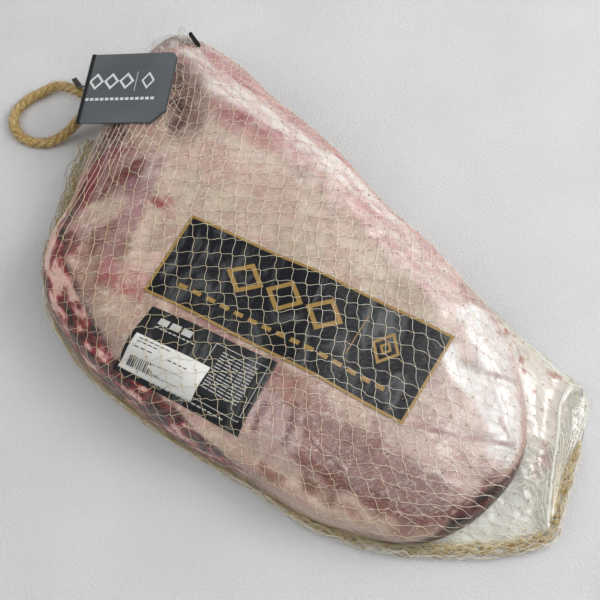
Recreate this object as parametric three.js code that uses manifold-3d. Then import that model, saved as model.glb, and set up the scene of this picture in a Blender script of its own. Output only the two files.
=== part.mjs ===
// A whole beef brisket sealed in clear film, in a thread net that is gathered into a hem at one end and
// tied to a rope loop with a folded hang tag at the other.
// Millimetres. +X runs along the meat from the rope to the film's free end, +Z is up, the table is z = 0.
import * as THREE from 'three';
import { mergeVertices } from 'three/addons/utils/BufferGeometryUtils.js';
import Module from 'manifold-3d';

// Driving dimensions of the meat

// the point that the outline is drawn round
const CENTRE = [-20, 0];
// the widest outline of the meat, seen from above: flat end, far side, thick end, near side
const OUTLINE = [
  [210, 6], [207, 38], [195, 64], [160, 97], [108, 122], [77, 126], [38, 131], [-10, 131], [-60, 137],
  [-150, 138], [-228, 138], [-264, 127], [-268, 92], [-238, 14], [-203, -49], [-188, -86], [-158, -117],
  [-112, -131], [-30, -130], [60, -110], [140, -88], [190, -55], [206, -22],
];
// the height of the top along X, from the thick end to the thin one
const CROWN_X = [-270, -190, -70, 50, 140, 220];
const CROWN_Z = [66, 75, 70, 63, 53, 44];
// the widest outline stands at this share of the height
const RIM_SHARE = 0.34;
// how square the shoulder is: 2 is an ellipse
const TOP_POWER = 3;
// how far the underside draws in to the flat patch that lies on the table
const UNDER_INSET = 15;
// how round the edge of the underside is: 2 is an ellipse
const UNDER_POWER = 2.4;
// a typical half width and rise, by which the rows of the surface are spaced evenly
const ROW_RADIUS = 180;
const ROW_RISE = 44;
// folds, lips and dips of the top: a path seen from above, its half width and its height
const RELIEF = [
  { name: 'fold', width: 8, height: -7,
    path: [[-158, -113], [-120, -122], [-78, -122], [-13, -113], [62, -101], [128, -84]] },
  { name: 'cap lip', width: 13, height: 3, path: [[-150, -98], [-75, -103], [-10, -95], [60, -84], [120, -68]] },
  { name: 'far ridge', width: 14, height: 4, path: [[-190, 96], [-120, 103], [-60, 103], [0, 92], [80, 84]] },
  { name: 'dip', width: 20, height: -9, path: [[-212, 78], [-182, 58]] },
  { name: 'hollow', width: 17, height: -5, path: [[-184, -22], [-176, -46]] },
  { name: 'end bulge', width: 16, height: 5, path: [[110, 88], [160, 74], [186, 52]] },
  { name: 'end crease', width: 6, height: -4, path: [[128, 62], [150, 76], [164, 92]] },
];
// two soft waves that keep the top uneven: height and the lengths over which they turn by one radian
const WAVE = { height: 1.6, along: 31, across: 27, slantHeight: 1, slantAlong: 17, slantAcross: 23 };
// where each wave starts, in radians along and across
const WAVE_START = [0.7, 1.1];

// Driving dimensions of the film's free end

// its outer edge round CENTRE: degrees and radius
const TAIL_DEGREES = [-22, -10, 0, 4.5, 10, 16, 29, 32.5, 35, 42, 48, 56];
const TAIL_RADIUS = [196, 230, 261, 273, 268, 263, 260, 250, 232, 200, 183, 160];
// its height at the edge, its height at the meat as a share of the meat's, and how far it is tucked in there
const TAIL_EDGE = 3.5;
const TAIL_WALL_SHARE = 0.62;
const TAIL_TUCK = 8;
// how fast it falls from the meat to the edge: 1 is a straight slope
const TAIL_FALL_POWER = 1.35;
const TAIL_FOLDS = 17;
const TAIL_FOLD_HEIGHT = 2.2;
// the folds lean by this many radians from the meat to the edge
const TAIL_FOLD_LEAN = 2.4;
// the raised roll of film inside the edge
const TAIL_ROLL = [[193, 131], [200, 104], [214, 80], [233, 54], [246, 36], [254, 22]];
const TAIL_ROLL_WIDTH = 7;
const TAIL_ROLL_HEIGHT = 7;

// Driving dimensions of the gathered net

// rolls of net on the table: degrees round CENTRE, distance outside the edge they follow, half width, half height
const NEAR_FOLD = {
  degrees: [177.5, 185, 192, 199, 206, 213, 235, 262, 277, 291, 309, 323.5],
  out: [14, 14, 12, 11, 7, 4, 3.5, 3.5, 1, 1.5, 3, 1],
  half: [12, 12, 11, 10, 8.5, 7, 6.5, 6, 5, 5, 6, 4],
  high: [9, 9, 8, 7, 6, 5.5, 5, 5, 4.5, 4.5, 5, 4],
};
const FAR_FOLD = {
  degrees: [59, 80, 100, 130, 144],
  out: [1, 1, 1, 1, 2],
  half: [4, 4.5, 4.5, 5, 4],
  high: [3, 3.5, 3.5, 4, 3],
};
const HEM = {
  degrees: [-35.5, -26, -16, -6, 4.5, 10, 16, 22],
  out: [1, 2, 2, 2, 3, 2, 1.5, 0],
  half: [4.5, 5.5, 6.5, 7, 7, 6, 5, 3.5],
  high: [4, 5, 6, 6.5, 6.5, 6, 5, 3],
};
// below this angle the hem lies against the meat, and above it against the film's edge
const HEM_JOINS_TAIL = -20;
const FOLD_STEP_DEGREES = 3;
const FOLD_SIDES = 8;
// how uneven a roll's surface is, as a share of its width
const FOLD_LUMP = 0.12;
// a roll's ends narrow to the square root of this share of its width, and widen again by it at each step
const FOLD_END_SHARE = 0.35;
// the neck of net that the rope comes out of
const NECK_PATH = [[-228, 52, 36], [-244, 45, 34.5], [-254, 38, 32], [-261.5, 33.5, 30]];
const NECK_HALF = [17, 15, 12, 9.5];
const NECK_HIGH = [12, 10, 8.5, 7.5];
const NECK_STEPS = 9;
const NECK_SIDES = 12;
const NECK_LUMP = 0.05;

// Driving dimensions of the rope loop, the tag and the small pieces

const ROPE_DIAMETER = 7.5;
const ROPE_SIDES = 10;
const ROPE_STEPS = 46;
const ROPE_ROUTE = [
  [-263.3, 33, 29], [-275.3, 31.1, 28], [-288.7, 29.1, 24.5], [-302.3, 27.6, 18], [-311.7, 24.8, 12],
  [-317.8, 19.3, 7.5], [-322, 10.2, 4.6], [-324.1, -0.2, 3.9], [-323.4, -10.5, 3.9], [-319.6, -19.6, 3.9],
  [-311.7, -26.3, 3.9], [-302.5, -28.7, 3.9], [-292.2, -27.2, 3.9], [-283.4, -21.9, 4], [-276.8, -14.6, 4.8],
  [-272.5, -5.3, 7.5], [-270, 3.1, 12], [-268, 11.4, 18.5], [-265.5, 19.5, 25],
];
// the tag's plane by its spine and one corner, and the leaves' size
const TAG_SPINE_FAR = [-287.7, 52.9, 53.5];
const TAG_SPINE_NEAR = [-248, -1.7, 50.3];
const TAG_FREE_FAR = [-226.1, 96.4, 73.2];
const TAG_LEAF = 0.5;
const TAG_OPEN_DEGREES = 1.6;
const TAG_SPINE_RADIUS = 0.9;
const TAG_CORNER = 6;
const TAG_CLIP_CORNER = 11;
// a bent strip: one leg down along the rope, the other up to the tag's spine
const NECK_CLIP = { width: 4.5, thick: 1.2, long: 17, drop: 8.5, reach: 13.2, rise: 17.2 };
const NECK_CLIP_AT = [-283.7, 33.2, 32.5];
const NECK_CLIP_TURN = -18;
// the bunched corner of film at the thick end's far side
const CORNER_PATH = [[-238, 112, 40], [-248, 120, 44], [-254, 124, 46.5], [-259, 128, 48]];
const CORNER_HALF = [10, 9, 6, 2.5];
const CORNER_STEPS = 7;
const CORNER_SIDES = 10;
const CORNER_LUMP = 0.12;
const BAG_CLIP = { length: 16, width: 3, height: 3, corner: 0.8 };
const BAG_CLIP_AT = [-238.5, 124.2, 53];
const BAG_CLIP_TURN = -13;
const LABEL_THICK = 0.3;
// each label's corners, its height over the meat, and its rows along and across
const INFO_LABEL = { corners: [[-71, -75], [28, -39], [45, -98], [-63, -127]], lift: 0.7, rows: 10, columns: 13 };
const PRICE_STICKER = { corners: [[-64, -98], [-4, -78], [2, -105], [-61, -123]], lift: 1.8, rows: 6, columns: 7 };

// gap left round a piece that meets another
const GAP = 0.35;
// rows across the top surface
const TOP_ROWS = 40;
const UNDER_ROWS = 4;
const TAIL_ROWS = 36;
const TAIL_COLUMNS = 7;
const PROFILE_SAMPLES = 240;
// moves the whole part so that its box is centred on the origin
const PART_SHIFT = [19.6, -0.8, 0];

const wasm = await Module();
wasm.setup();

// Numbers

// cubic through knots, level with the neighbours' slope at each
function throughKnots(x, xs, ys) {
  const last = xs.length - 1;
  const at = Math.min(Math.max(x, xs[0]), xs[last]);
  let i = 0;
  while (i < last - 1 && at > xs[i + 1]) i += 1;
  const slope = (k) => {
    const a = Math.max(k - 1, 0);
    const b = Math.min(k + 1, last);
    return (ys[b] - ys[a]) / (xs[b] - xs[a]);
  };
  const h = xs[i + 1] - xs[i];
  const t = (at - xs[i]) / h;
  return (2 * t ** 3 - 3 * t ** 2 + 1) * ys[i] + (t ** 3 - 2 * t ** 2 + t) * h * slope(i)
    + (3 * t ** 2 - 2 * t ** 3) * ys[i + 1] + (t ** 3 - t ** 2) * h * slope(i + 1);
}

function distanceToPath(x, y, path) {
  let best = Infinity;
  for (let k = 0; k + 1 < path.length; k += 1) {
    const [x0, y0] = path[k];
    const dx = path[k + 1][0] - x0;
    const dy = path[k + 1][1] - y0;
    const t = Math.min(Math.max(((x - x0) * dx + (y - y0) * dy) / (dx * dx + dy * dy), 0), 1);
    best = Math.min(best, Math.hypot(x - x0 - t * dx, y - y0 - t * dy));
  }
  return best;
}

// the outline as radius by angle, repeated once each way so that it closes smoothly
const OUTLINE_POLAR = OUTLINE
  .map(([x, y]) => [Math.atan2(y - CENTRE[1], x - CENTRE[0]), Math.hypot(x - CENTRE[0], y - CENTRE[1])])
  .sort((a, b) => a[0] - b[0]);
const TURNS = [-2 * Math.PI, 0, 2 * Math.PI];
const OUTLINE_ANGLES = TURNS.flatMap((turn) => OUTLINE_POLAR.map(([angle]) => angle + turn));
const OUTLINE_RADII = TURNS.flatMap(() => OUTLINE_POLAR.map(([, radius]) => radius));

function outlineRadius(angle) {
  const wrapped = angle - 2 * Math.PI * Math.floor((angle + Math.PI) / (2 * Math.PI));
  return throughKnots(wrapped, OUTLINE_ANGLES, OUTLINE_RADII);
}

function around(angle, radius, z) {
  return [CENTRE[0] + radius * Math.cos(angle), CENTRE[1] + radius * Math.sin(angle), z];
}

// Meat surface

function crown(x) {
  return throughKnots(x, CROWN_X, CROWN_Z);
}

function rimHeight(angle) {
  return RIM_SHARE * crown(around(angle, outlineRadius(angle), 0)[0]);
}

function relief(x, y) {
  let z = WAVE.height * Math.sin(x / WAVE.along + WAVE_START[0]) * Math.sin(y / WAVE.across + WAVE_START[1])
    + WAVE.slantHeight * Math.sin(x / WAVE.slantAlong + y / WAVE.slantAcross);
  for (const { path, width, height } of RELIEF) {
    z += height * Math.exp(-((distanceToPath(x, y, path) / width) ** 2));
  }
  return z;
}

// superellipse from the crown to the rim, sampled at even lengths along it
const PROFILE = (() => {
  const rows = [];
  let length = 0;
  for (let k = 0; k <= PROFILE_SAMPLES; k += 1) {
    const turn = (k / PROFILE_SAMPLES) * (Math.PI / 2);
    const out = Math.sin(turn) ** (2 / TOP_POWER);
    const up = k === PROFILE_SAMPLES ? 0 : Math.cos(turn) ** (2 / TOP_POWER);
    if (k > 0) {
      const before = rows[k - 1];
      length += Math.hypot((out - before.out) * ROW_RADIUS, (up - before.up) * ROW_RISE);
    }
    rows.push({ out, up, length });
  }
  return rows;
})();

// the profile's pair out and up where the value of key reaches the wanted one
function profileWhere(key, wanted) {
  const target = key === 'length' ? wanted * PROFILE[PROFILE_SAMPLES].length : wanted;
  let k = 1;
  while (k < PROFILE_SAMPLES && PROFILE[k][key] < target) k += 1;
  const a = PROFILE[k - 1];
  const b = PROFILE[k];
  const t = Math.min(Math.max((target - a[key]) / (b[key] - a[key]), 0), 1);
  return { out: a.out + (b.out - a.out) * t, up: a.up + (b.up - a.up) * t };
}

function topFrom({ out, up }, angle, grow) {
  const [x, y] = around(angle, (outlineRadius(angle) + grow) * out, 0);
  const rim = rimHeight(angle);
  const fade = (1 - out ** 10) * Math.min(1, 2 * up);
  return [x, y, rim + (crown(x) + grow - rim) * up + relief(x, y) * fade];
}

function topHeight(x, y) {
  const angle = Math.atan2(y - CENTRE[1], x - CENTRE[0]);
  const out = Math.hypot(x - CENTRE[0], y - CENTRE[1]) / outlineRadius(angle);
  return topFrom(profileWhere('out', out), angle, 0)[2];
}

function underPoint(angle, share, grow) {
  const turn = share * (Math.PI / 2);
  const inset = share === 1 ? UNDER_INSET : UNDER_INSET * (1 - Math.cos(turn) ** (2 / UNDER_POWER));
  const z = share === 1 ? 0 : rimHeight(angle) * (1 - Math.sin(turn) ** (2 / UNDER_POWER));
  return around(angle, outlineRadius(angle) + grow - inset, z);
}

// Solids

function toManifold(points, faces) {
  const mesh = new wasm.Mesh({
    numProp: 3,
    vertProperties: new Float32Array(points.flat()),
    triVerts: new Uint32Array(faces.flat()),
  });
  return new wasm.Manifold(mesh);
}

function fromGeometry(geometry) {
  const bare = geometry.clone();
  bare.deleteAttribute('normal');
  bare.deleteAttribute('uv');
  const merged = mergeVertices(bare, 1e-4);
  return new wasm.Manifold(new wasm.Mesh({
    numProp: 3,
    vertProperties: new Float32Array(merged.attributes.position.array),
    triVerts: new Uint32Array(merged.index.array),
  }));
}

function toGeometry(solid) {
  const { vertProperties, triVerts } = solid.getMesh();
  const geometry = new THREE.BufferGeometry();
  geometry.setAttribute('position', new THREE.BufferAttribute(new Float32Array(vertProperties), 3));
  geometry.setIndex(new THREE.BufferAttribute(new Uint32Array(triVerts), 1));
  return geometry;
}

// the largest body that a cut leaves
function largest(solid) {
  return solid.decompose().reduce((best, one) => (one.volume() > best.volume() ? one : best));
}

// Square rows of the top, mapped to a disc, then rings down the side to the flat patch
function meatSolid(grow) {
  const n = TOP_ROWS;
  const points = [];
  const faces = [];
  for (let i = 0; i <= n; i += 1) {
    for (let j = 0; j <= n; j += 1) {
      const s = (2 * i) / n - 1;
      const t = (2 * j) / n - 1;
      const x = s * Math.sqrt(1 - (t * t) / 2);
      const y = t * Math.sqrt(1 - (s * s) / 2);
      const share = Math.min(1, Math.hypot(x, y));
      points.push(topFrom(profileWhere('length', share), Math.atan2(y, x), grow));
    }
  }
  const at = (i, j) => i * (n + 1) + j;
  for (let i = 0; i < n; i += 1) {
    for (let j = 0; j < n; j += 1) {
      const [a, b, c, d] = [at(i, j), at(i + 1, j), at(i + 1, j + 1), at(i, j + 1)];
      const along = (i - n / 2 + 0.5) * (j - n / 2 + 0.5) > 0;
      if (along) faces.push([a, b, c], [a, c, d]);
      else faces.push([a, b, d], [b, c, d]);
    }
  }
  let upper = [];
  for (let k = 0; k < n; k += 1) upper.push(at(k, 0));
  for (let k = 0; k < n; k += 1) upper.push(at(n, k));
  for (let k = n; k > 0; k -= 1) upper.push(at(k, n));
  for (let k = n; k > 0; k -= 1) upper.push(at(0, k));
  const angles = upper.map((index) => Math.atan2(points[index][1] - CENTRE[1], points[index][0] - CENTRE[0]));
  for (let row = 1; row <= UNDER_ROWS; row += 1) {
    const first = points.length;
    angles.forEach((angle) => points.push(underPoint(angle, row / UNDER_ROWS, grow)));
    const lower = angles.map((_, m) => first + m);
    upper.forEach((p, m) => {
      const next = (m + 1) % upper.length;
      faces.push([p, lower[m], lower[next]], [p, lower[next], upper[next]]);
    });
    upper = lower;
  }
  const patch = upper.map((index) => new THREE.Vector2(points[index][0], points[index][1]));
  THREE.ShapeUtils.triangulateShape(patch, []).forEach(([a, b, c]) => {
    faces.push([upper[a], upper[c], upper[b]]);
  });
  return toManifold(points, faces);
}

// A closed slab between an upper and a lower sheet of the same rows and columns
function slabSolid(rows, columns, upperPoint, lowerPoint) {
  const points = [];
  const faces = [];
  for (const pointAt of [upperPoint, lowerPoint]) {
    for (let i = 0; i <= rows; i += 1) {
      for (let j = 0; j <= columns; j += 1) points.push(pointAt(i / rows, j / columns));
    }
  }
  const half = (rows + 1) * (columns + 1);
  const at = (i, j) => i * (columns + 1) + j;
  for (let i = 0; i < rows; i += 1) {
    for (let j = 0; j < columns; j += 1) {
      const [a, b, c, d] = [at(i, j), at(i + 1, j), at(i + 1, j + 1), at(i, j + 1)];
      faces.push([a, b, c], [a, c, d], [a + half, c + half, b + half], [a + half, d + half, c + half]);
    }
  }
  const edge = [];
  for (let i = 0; i < rows; i += 1) edge.push(at(i, 0));
  for (let j = 0; j < columns; j += 1) edge.push(at(rows, j));
  for (let i = rows; i > 0; i -= 1) edge.push(at(i, columns));
  for (let j = columns; j > 0; j -= 1) edge.push(at(0, j));
  edge.forEach((p, m) => {
    const q = edge[(m + 1) % edge.length];
    faces.push([p, p + half, q + half], [p, q + half, q]);
  });
  return toManifold(points, faces);
}

// An uneven roll along a path of points, with a half width and a half height at each
function rollSolid(path, halfWidth, halfHeight, sides, lump) {
  const points = [];
  const faces = [];
  path.forEach(([x, y, z], k) => {
    const before = path[Math.max(k - 1, 0)];
    const after = path[Math.min(k + 1, path.length - 1)];
    const ahead = new THREE.Vector3(after[0] - before[0], after[1] - before[1], after[2] - before[2]).normalize();
    const side = new THREE.Vector3(ahead.y, -ahead.x, 0).normalize();
    const up = new THREE.Vector3().crossVectors(side, ahead);
    for (let m = 0; m < sides; m += 1) {
      const turn = (m / sides) * 2 * Math.PI;
      const swell = 1 + lump * Math.sin(2.1 * k + 1.7 * m);
      const out = halfWidth[k] * swell * Math.cos(turn);
      const rise = halfHeight[k] * swell * Math.sin(turn);
      points.push([
        x + side.x * out + up.x * rise,
        y + side.y * out + up.y * rise,
        Math.max(z + side.z * out + up.z * rise, 0),
      ]);
    }
  });
  const last = path.length - 1;
  for (let k = 0; k < last; k += 1) {
    for (let m = 0; m < sides; m += 1) {
      const next = (m + 1) % sides;
      const [a, b, c, d] = [k * sides + m, k * sides + next, (k + 1) * sides + next, (k + 1) * sides + m];
      faces.push([a, b, c], [a, c, d]);
    }
  }
  for (let m = 1; m < sides - 1; m += 1) {
    faces.push([0, m + 1, m], [last * sides, last * sides + m, last * sides + m + 1]);
  }
  const solid = toManifold(points, faces);
  return solid.volume() > 0 ? solid : toManifold(points, faces.map(([a, b, c]) => [a, c, b]));
}

// count + 1 points along a path
function spread(path, count) {
  const curve = new THREE.CatmullRomCurve3(path.map((p) => new THREE.Vector3(...p)));
  return curve.getPoints(count).map((p) => p.toArray());
}

// count + 1 numbers along a list
function alongList(list, count) {
  const places = list.map((_, i) => i);
  return Array.from({ length: count + 1 }, (_, k) => throughKnots((k / count) * (list.length - 1), places, list));
}

// Film tail

function tailRadius(degrees) {
  return throughKnots(degrees, TAIL_DEGREES, TAIL_RADIUS);
}

function tailSolid(grow) {
  const first = TAIL_DEGREES[0];
  const last = TAIL_DEGREES[TAIL_DEGREES.length - 1];
  const place = (u, v) => {
    const degrees = last + (first - last) * u;
    const angle = THREE.MathUtils.degToRad(degrees);
    const inner = outlineRadius(angle) - TAIL_TUCK;
    const outer = tailRadius(degrees) + grow;
    return { angle, radius: inner + (outer - inner) * v, wall: TAIL_WALL_SHARE * crown(CENTRE[0] + inner) };
  };
  const upper = (u, v) => {
    const { angle, radius, wall } = place(u, v);
    const [x, y] = around(angle, radius, 0);
    const fold = TAIL_FOLD_HEIGHT * Math.sin(TAIL_FOLDS * Math.PI * u + TAIL_FOLD_LEAN * v) * Math.sin(Math.PI * v);
    const roll = TAIL_ROLL_HEIGHT * Math.exp(-((distanceToPath(x, y, TAIL_ROLL) / TAIL_ROLL_WIDTH) ** 2));
    return [x, y, TAIL_EDGE + grow + (wall - TAIL_EDGE) * (1 - v) ** TAIL_FALL_POWER + fold + roll];
  };
  const lower = (u, v) => {
    const { angle, radius } = place(u, v);
    return around(angle, radius, 0);
  };
  return slabSolid(TAIL_ROWS, TAIL_COLUMNS, upper, lower);
}

// Rolls of gathered net

function netRoll(spec, edgeRadius) {
  const first = spec.degrees[0];
  const last = spec.degrees[spec.degrees.length - 1];
  const steps = Math.round((last - first) / FOLD_STEP_DEGREES);
  const path = [];
  const halfWidth = [];
  const halfHeight = [];
  for (let k = 0; k <= steps; k += 1) {
    const degrees = first + ((last - first) * k) / steps;
    const taper = Math.sqrt(Math.min(1, FOLD_END_SHARE * (1 + Math.min(k, steps - k))));
    const angle = THREE.MathUtils.degToRad(degrees);
    const high = throughKnots(degrees, spec.degrees, spec.high);
    path.push(around(angle, edgeRadius(degrees, angle) + throughKnots(degrees, spec.degrees, spec.out), high));
    halfWidth.push(throughKnots(degrees, spec.degrees, spec.half) * taper);
    halfHeight.push(high * taper);
  }
  return rollSolid(path, halfWidth, halfHeight, FOLD_SIDES, FOLD_LUMP);
}

function hemEdge(degrees, angle) {
  const meat = outlineRadius(angle);
  return degrees < HEM_JOINS_TAIL ? meat : Math.max(meat, tailRadius(degrees));
}

// Rope, tag and clips

function ropeGeometry() {
  const curve = new THREE.CatmullRomCurve3(ROPE_ROUTE.map((p) => new THREE.Vector3(...p)), false, 'centripetal');
  const section = new THREE.Shape();
  for (let m = 0; m < ROPE_SIDES; m += 1) {
    const turn = (m / ROPE_SIDES) * 2 * Math.PI;
    const method = m === 0 ? 'moveTo' : 'lineTo';
    section[method]((ROPE_DIAMETER / 2) * Math.cos(turn), (ROPE_DIAMETER / 2) * Math.sin(turn));
  }
  return new THREE.ExtrudeGeometry(section, { steps: ROPE_STEPS, extrudePath: curve, bevelEnabled: false });
}

function leafShape(length, width) {
  const shape = new THREE.Shape();
  shape.moveTo(0, 0);
  shape.lineTo(length - TAG_CORNER, 0);
  shape.absarc(length - TAG_CORNER, TAG_CORNER, TAG_CORNER, -Math.PI / 2, 0, false);
  shape.lineTo(length, width - TAG_CLIP_CORNER);
  shape.lineTo(length - TAG_CLIP_CORNER, width);
  shape.lineTo(0, width);
  shape.closePath();
  return shape;
}

// Two leaves that share a spine; local x runs away from the spine, local y along it and local z downward
function tagSolid(length, width) {
  const options = { depth: TAG_LEAF, bevelEnabled: false, curveSegments: 5 };
  const under = new THREE.ExtrudeGeometry(leafShape(length, width), options);
  under.translate(0, 0, -TAG_LEAF);
  const over = new THREE.ExtrudeGeometry(leafShape(length, width), options);
  over.translate(0, 0, -TAG_LEAF);
  over.rotateY(THREE.MathUtils.degToRad(TAG_OPEN_DEGREES));
  over.translate(0, 0, -TAG_LEAF);
  const spine = new THREE.CylinderGeometry(TAG_SPINE_RADIUS, TAG_SPINE_RADIUS, width, 10);
  spine.translate(0, width / 2, -TAG_LEAF);
  return fromGeometry(under).add(fromGeometry(over)).add(fromGeometry(spine));
}

function tagMatrix() {
  const far = new THREE.Vector3(...TAG_SPINE_FAR);
  const spine = new THREE.Vector3(...TAG_SPINE_NEAR).sub(far);
  const across = new THREE.Vector3(...TAG_FREE_FAR).sub(far);
  const width = spine.length();
  const y = spine.clone().normalize();
  const x = across.clone().addScaledVector(y, -across.dot(y)).normalize();
  const z = new THREE.Vector3().crossVectors(x, y);
  return { matrix: new THREE.Matrix4().makeBasis(x, y, z).setPosition(far), length: across.length(), width };
}

function neckClipGeometry() {
  const { width, thick, long, drop, reach, rise } = NECK_CLIP;
  const shape = new THREE.Shape();
  shape.moveTo(-long, -drop);
  shape.lineTo(-thick, 0);
  shape.lineTo(reach - thick, rise);
  shape.lineTo(reach, rise);
  shape.lineTo(0, -thick);
  shape.lineTo(-long, -drop - thick);
  shape.closePath();
  const geometry = new THREE.ExtrudeGeometry(shape, { depth: width, bevelEnabled: false });
  geometry.rotateX(Math.PI / 2);
  return geometry;
}

function bagClipGeometry() {
  const { length, width, height, corner } = BAG_CLIP;
  const shape = new THREE.Shape();
  const x = length / 2 - corner;
  const y = width / 2 - corner;
  shape.absarc(x, y, corner, 0, Math.PI / 2, false);
  shape.absarc(-x, y, corner, Math.PI / 2, Math.PI, false);
  shape.absarc(-x, -y, corner, Math.PI, 1.5 * Math.PI, false);
  shape.absarc(x, -y, corner, 1.5 * Math.PI, 2 * Math.PI, false);
  return new THREE.ExtrudeGeometry(shape, { depth: height, bevelEnabled: false, curveSegments: 3 });
}

// A thin sheet that follows the top between four corners given anticlockwise from the far left
function labelSolid({ corners, lift, rows, columns }) {
  const [farLeft, farRight, nearRight, nearLeft] = corners;
  const place = (u, v, rise) => {
    const between = (a, b, share) => a + (b - a) * share;
    const mix = (k) => between(between(farLeft[k], farRight[k], u), between(nearLeft[k], nearRight[k], u), v);
    const [x, y] = [mix(0), mix(1)];
    return [x, y, topHeight(x, y) + rise];
  };
  const upper = (u, v) => place(u, 1 - v, lift + LABEL_THICK);
  const lower = (u, v) => place(u, 1 - v, lift);
  return slabSolid(rows, columns, upper, lower);
}

// Assembly

const meat = meatSolid(0);
const meatGrown = meatSolid(GAP);
const tailGrown = tailSolid(GAP);
const meatEdge = (_, angle) => outlineRadius(angle);
const nearFold = netRoll(NEAR_FOLD, meatEdge);
const farFold = netRoll(FAR_FOLD, meatEdge);
const hem = netRoll(HEM, hemEdge);
const neck = rollSolid(
  spread(NECK_PATH, NECK_STEPS), alongList(NECK_HALF, NECK_STEPS), alongList(NECK_HIGH, NECK_STEPS),
  NECK_SIDES, NECK_LUMP,
);
const cornerHalf = alongList(CORNER_HALF, CORNER_STEPS);
const corner = rollSolid(spread(CORNER_PATH, CORNER_STEPS), cornerHalf, cornerHalf, CORNER_SIDES, CORNER_LUMP);
const tag = tagMatrix();

const part = new THREE.Group();
part.position.set(...PART_SHIFT);

function addPiece(name, geometry, colour, roughness, metalness = 0) {
  const mesh = new THREE.Mesh(geometry, new THREE.MeshStandardMaterial({ color: colour, roughness, metalness }));
  mesh.name = name;
  part.add(mesh);
  return mesh;
}

addPiece('brisket_pack', toGeometry(meat), 0xcdb8ab, 0.35);
addPiece('film_tail', toGeometry(largest(tailSolid(0).subtract(meatGrown))), 0xe6e4dc, 0.2);
addPiece('net_hem', toGeometry(largest(hem.subtract(meatGrown).subtract(tailGrown))), 0xc2a772, 0.8);
addPiece('net_fold_near', toGeometry(largest(nearFold.subtract(meatGrown))), 0xc2b48c, 0.8);
addPiece('net_fold_far', toGeometry(largest(farFold.subtract(meatGrown))), 0xc2b48c, 0.8);
addPiece('net_neck', toGeometry(largest(neck.subtract(meatGrown))), 0xc2a772, 0.8);
addPiece('film_corner', toGeometry(largest(corner.subtract(meatGrown))), 0xeeeeea, 0.3);
addPiece('rope_loop', ropeGeometry(), 0xb08b45, 0.95);
addPiece('info_label', toGeometry(labelSolid(INFO_LABEL)), 0x202124, 0.4);
addPiece('price_sticker', toGeometry(labelSolid(PRICE_STICKER)), 0xf2f2f0, 0.5);

const tagPiece = addPiece('hang_tag', toGeometry(tagSolid(tag.length, tag.width)), 0x5a5e60, 0.55);
tagPiece.applyMatrix4(tag.matrix);

const neckClip = addPiece('neck_clip', neckClipGeometry(), 0x15161a, 0.4);
neckClip.position.set(...NECK_CLIP_AT);
neckClip.rotation.z = THREE.MathUtils.degToRad(NECK_CLIP_TURN);

const bagClip = addPiece('bag_clip', bagClipGeometry(), 0x15161a, 0.35);
bagClip.position.set(...BAG_CLIP_AT);
bagClip.rotation.z = THREE.MathUtils.degToRad(BAG_CLIP_TURN);

export default part;
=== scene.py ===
"""Looks for a whole beef brisket in clear vacuum film and a thread net, with a rope loop, a folded hang tag,
a printed panel and two labels.

Shapes are worked out in millimetres in the part's own drawing frame, with +X along the meat and +Z up, and
leave it in metres in the row frame through to_row.
"""

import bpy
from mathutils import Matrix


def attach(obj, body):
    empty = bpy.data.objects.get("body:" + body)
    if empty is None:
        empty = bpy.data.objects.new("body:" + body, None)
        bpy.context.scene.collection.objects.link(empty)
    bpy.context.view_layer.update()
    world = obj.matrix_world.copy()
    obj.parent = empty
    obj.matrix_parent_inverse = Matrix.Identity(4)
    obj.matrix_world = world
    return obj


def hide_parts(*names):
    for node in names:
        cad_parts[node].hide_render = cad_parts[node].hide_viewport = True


bl_info = {
    "name": "Packed Brisket",
    "version": (1, 0, 0),
    "blender": (4, 5, 0),
    "location": "View3D > Sidebar > Brisket",
    "description": "Builds a brisket in clear film and net, with its rope loop, tag, panel and labels",
    "category": "Add Mesh",
}

import bpy
import numpy as np
from bpy.props import FloatProperty, FloatVectorProperty, IntProperty, PointerProperty
from bpy.types import Operator, Panel, PropertyGroup
from mathutils import Vector

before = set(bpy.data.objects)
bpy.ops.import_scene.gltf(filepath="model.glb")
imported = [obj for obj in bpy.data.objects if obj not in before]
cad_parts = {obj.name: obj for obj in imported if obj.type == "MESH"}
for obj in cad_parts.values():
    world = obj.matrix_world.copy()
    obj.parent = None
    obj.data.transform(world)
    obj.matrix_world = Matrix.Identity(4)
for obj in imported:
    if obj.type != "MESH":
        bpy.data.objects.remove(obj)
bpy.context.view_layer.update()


MM = 0.001

# Measures shared with the solids, in millimetres in the drawing frame

PART_SHIFT = np.array([19.6, -0.8, 0.0])
CENTRE = np.array([-20.0, 0.0])
OUTLINE = np.array([
    (210, 6), (207, 38), (195, 64), (160, 97), (108, 122), (77, 126), (38, 131), (-10, 131), (-60, 137),
    (-150, 138), (-228, 138), (-264, 127), (-268, 92), (-238, 14), (-203, -49), (-188, -86), (-158, -117),
    (-112, -131), (-30, -130), (60, -110), (140, -88), (190, -55), (206, -22)], float)
CROWN_X = [-270, -190, -70, 50, 140, 220]
CROWN_Z = [66, 75, 70, 63, 53, 44]
RIM_SHARE = 0.34
TOP_POWER = 3.0
UNDER_INSET = 15.0
UNDER_POWER = 2.4
ROW_RADIUS = 180.0
ROW_RISE = 44.0
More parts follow.
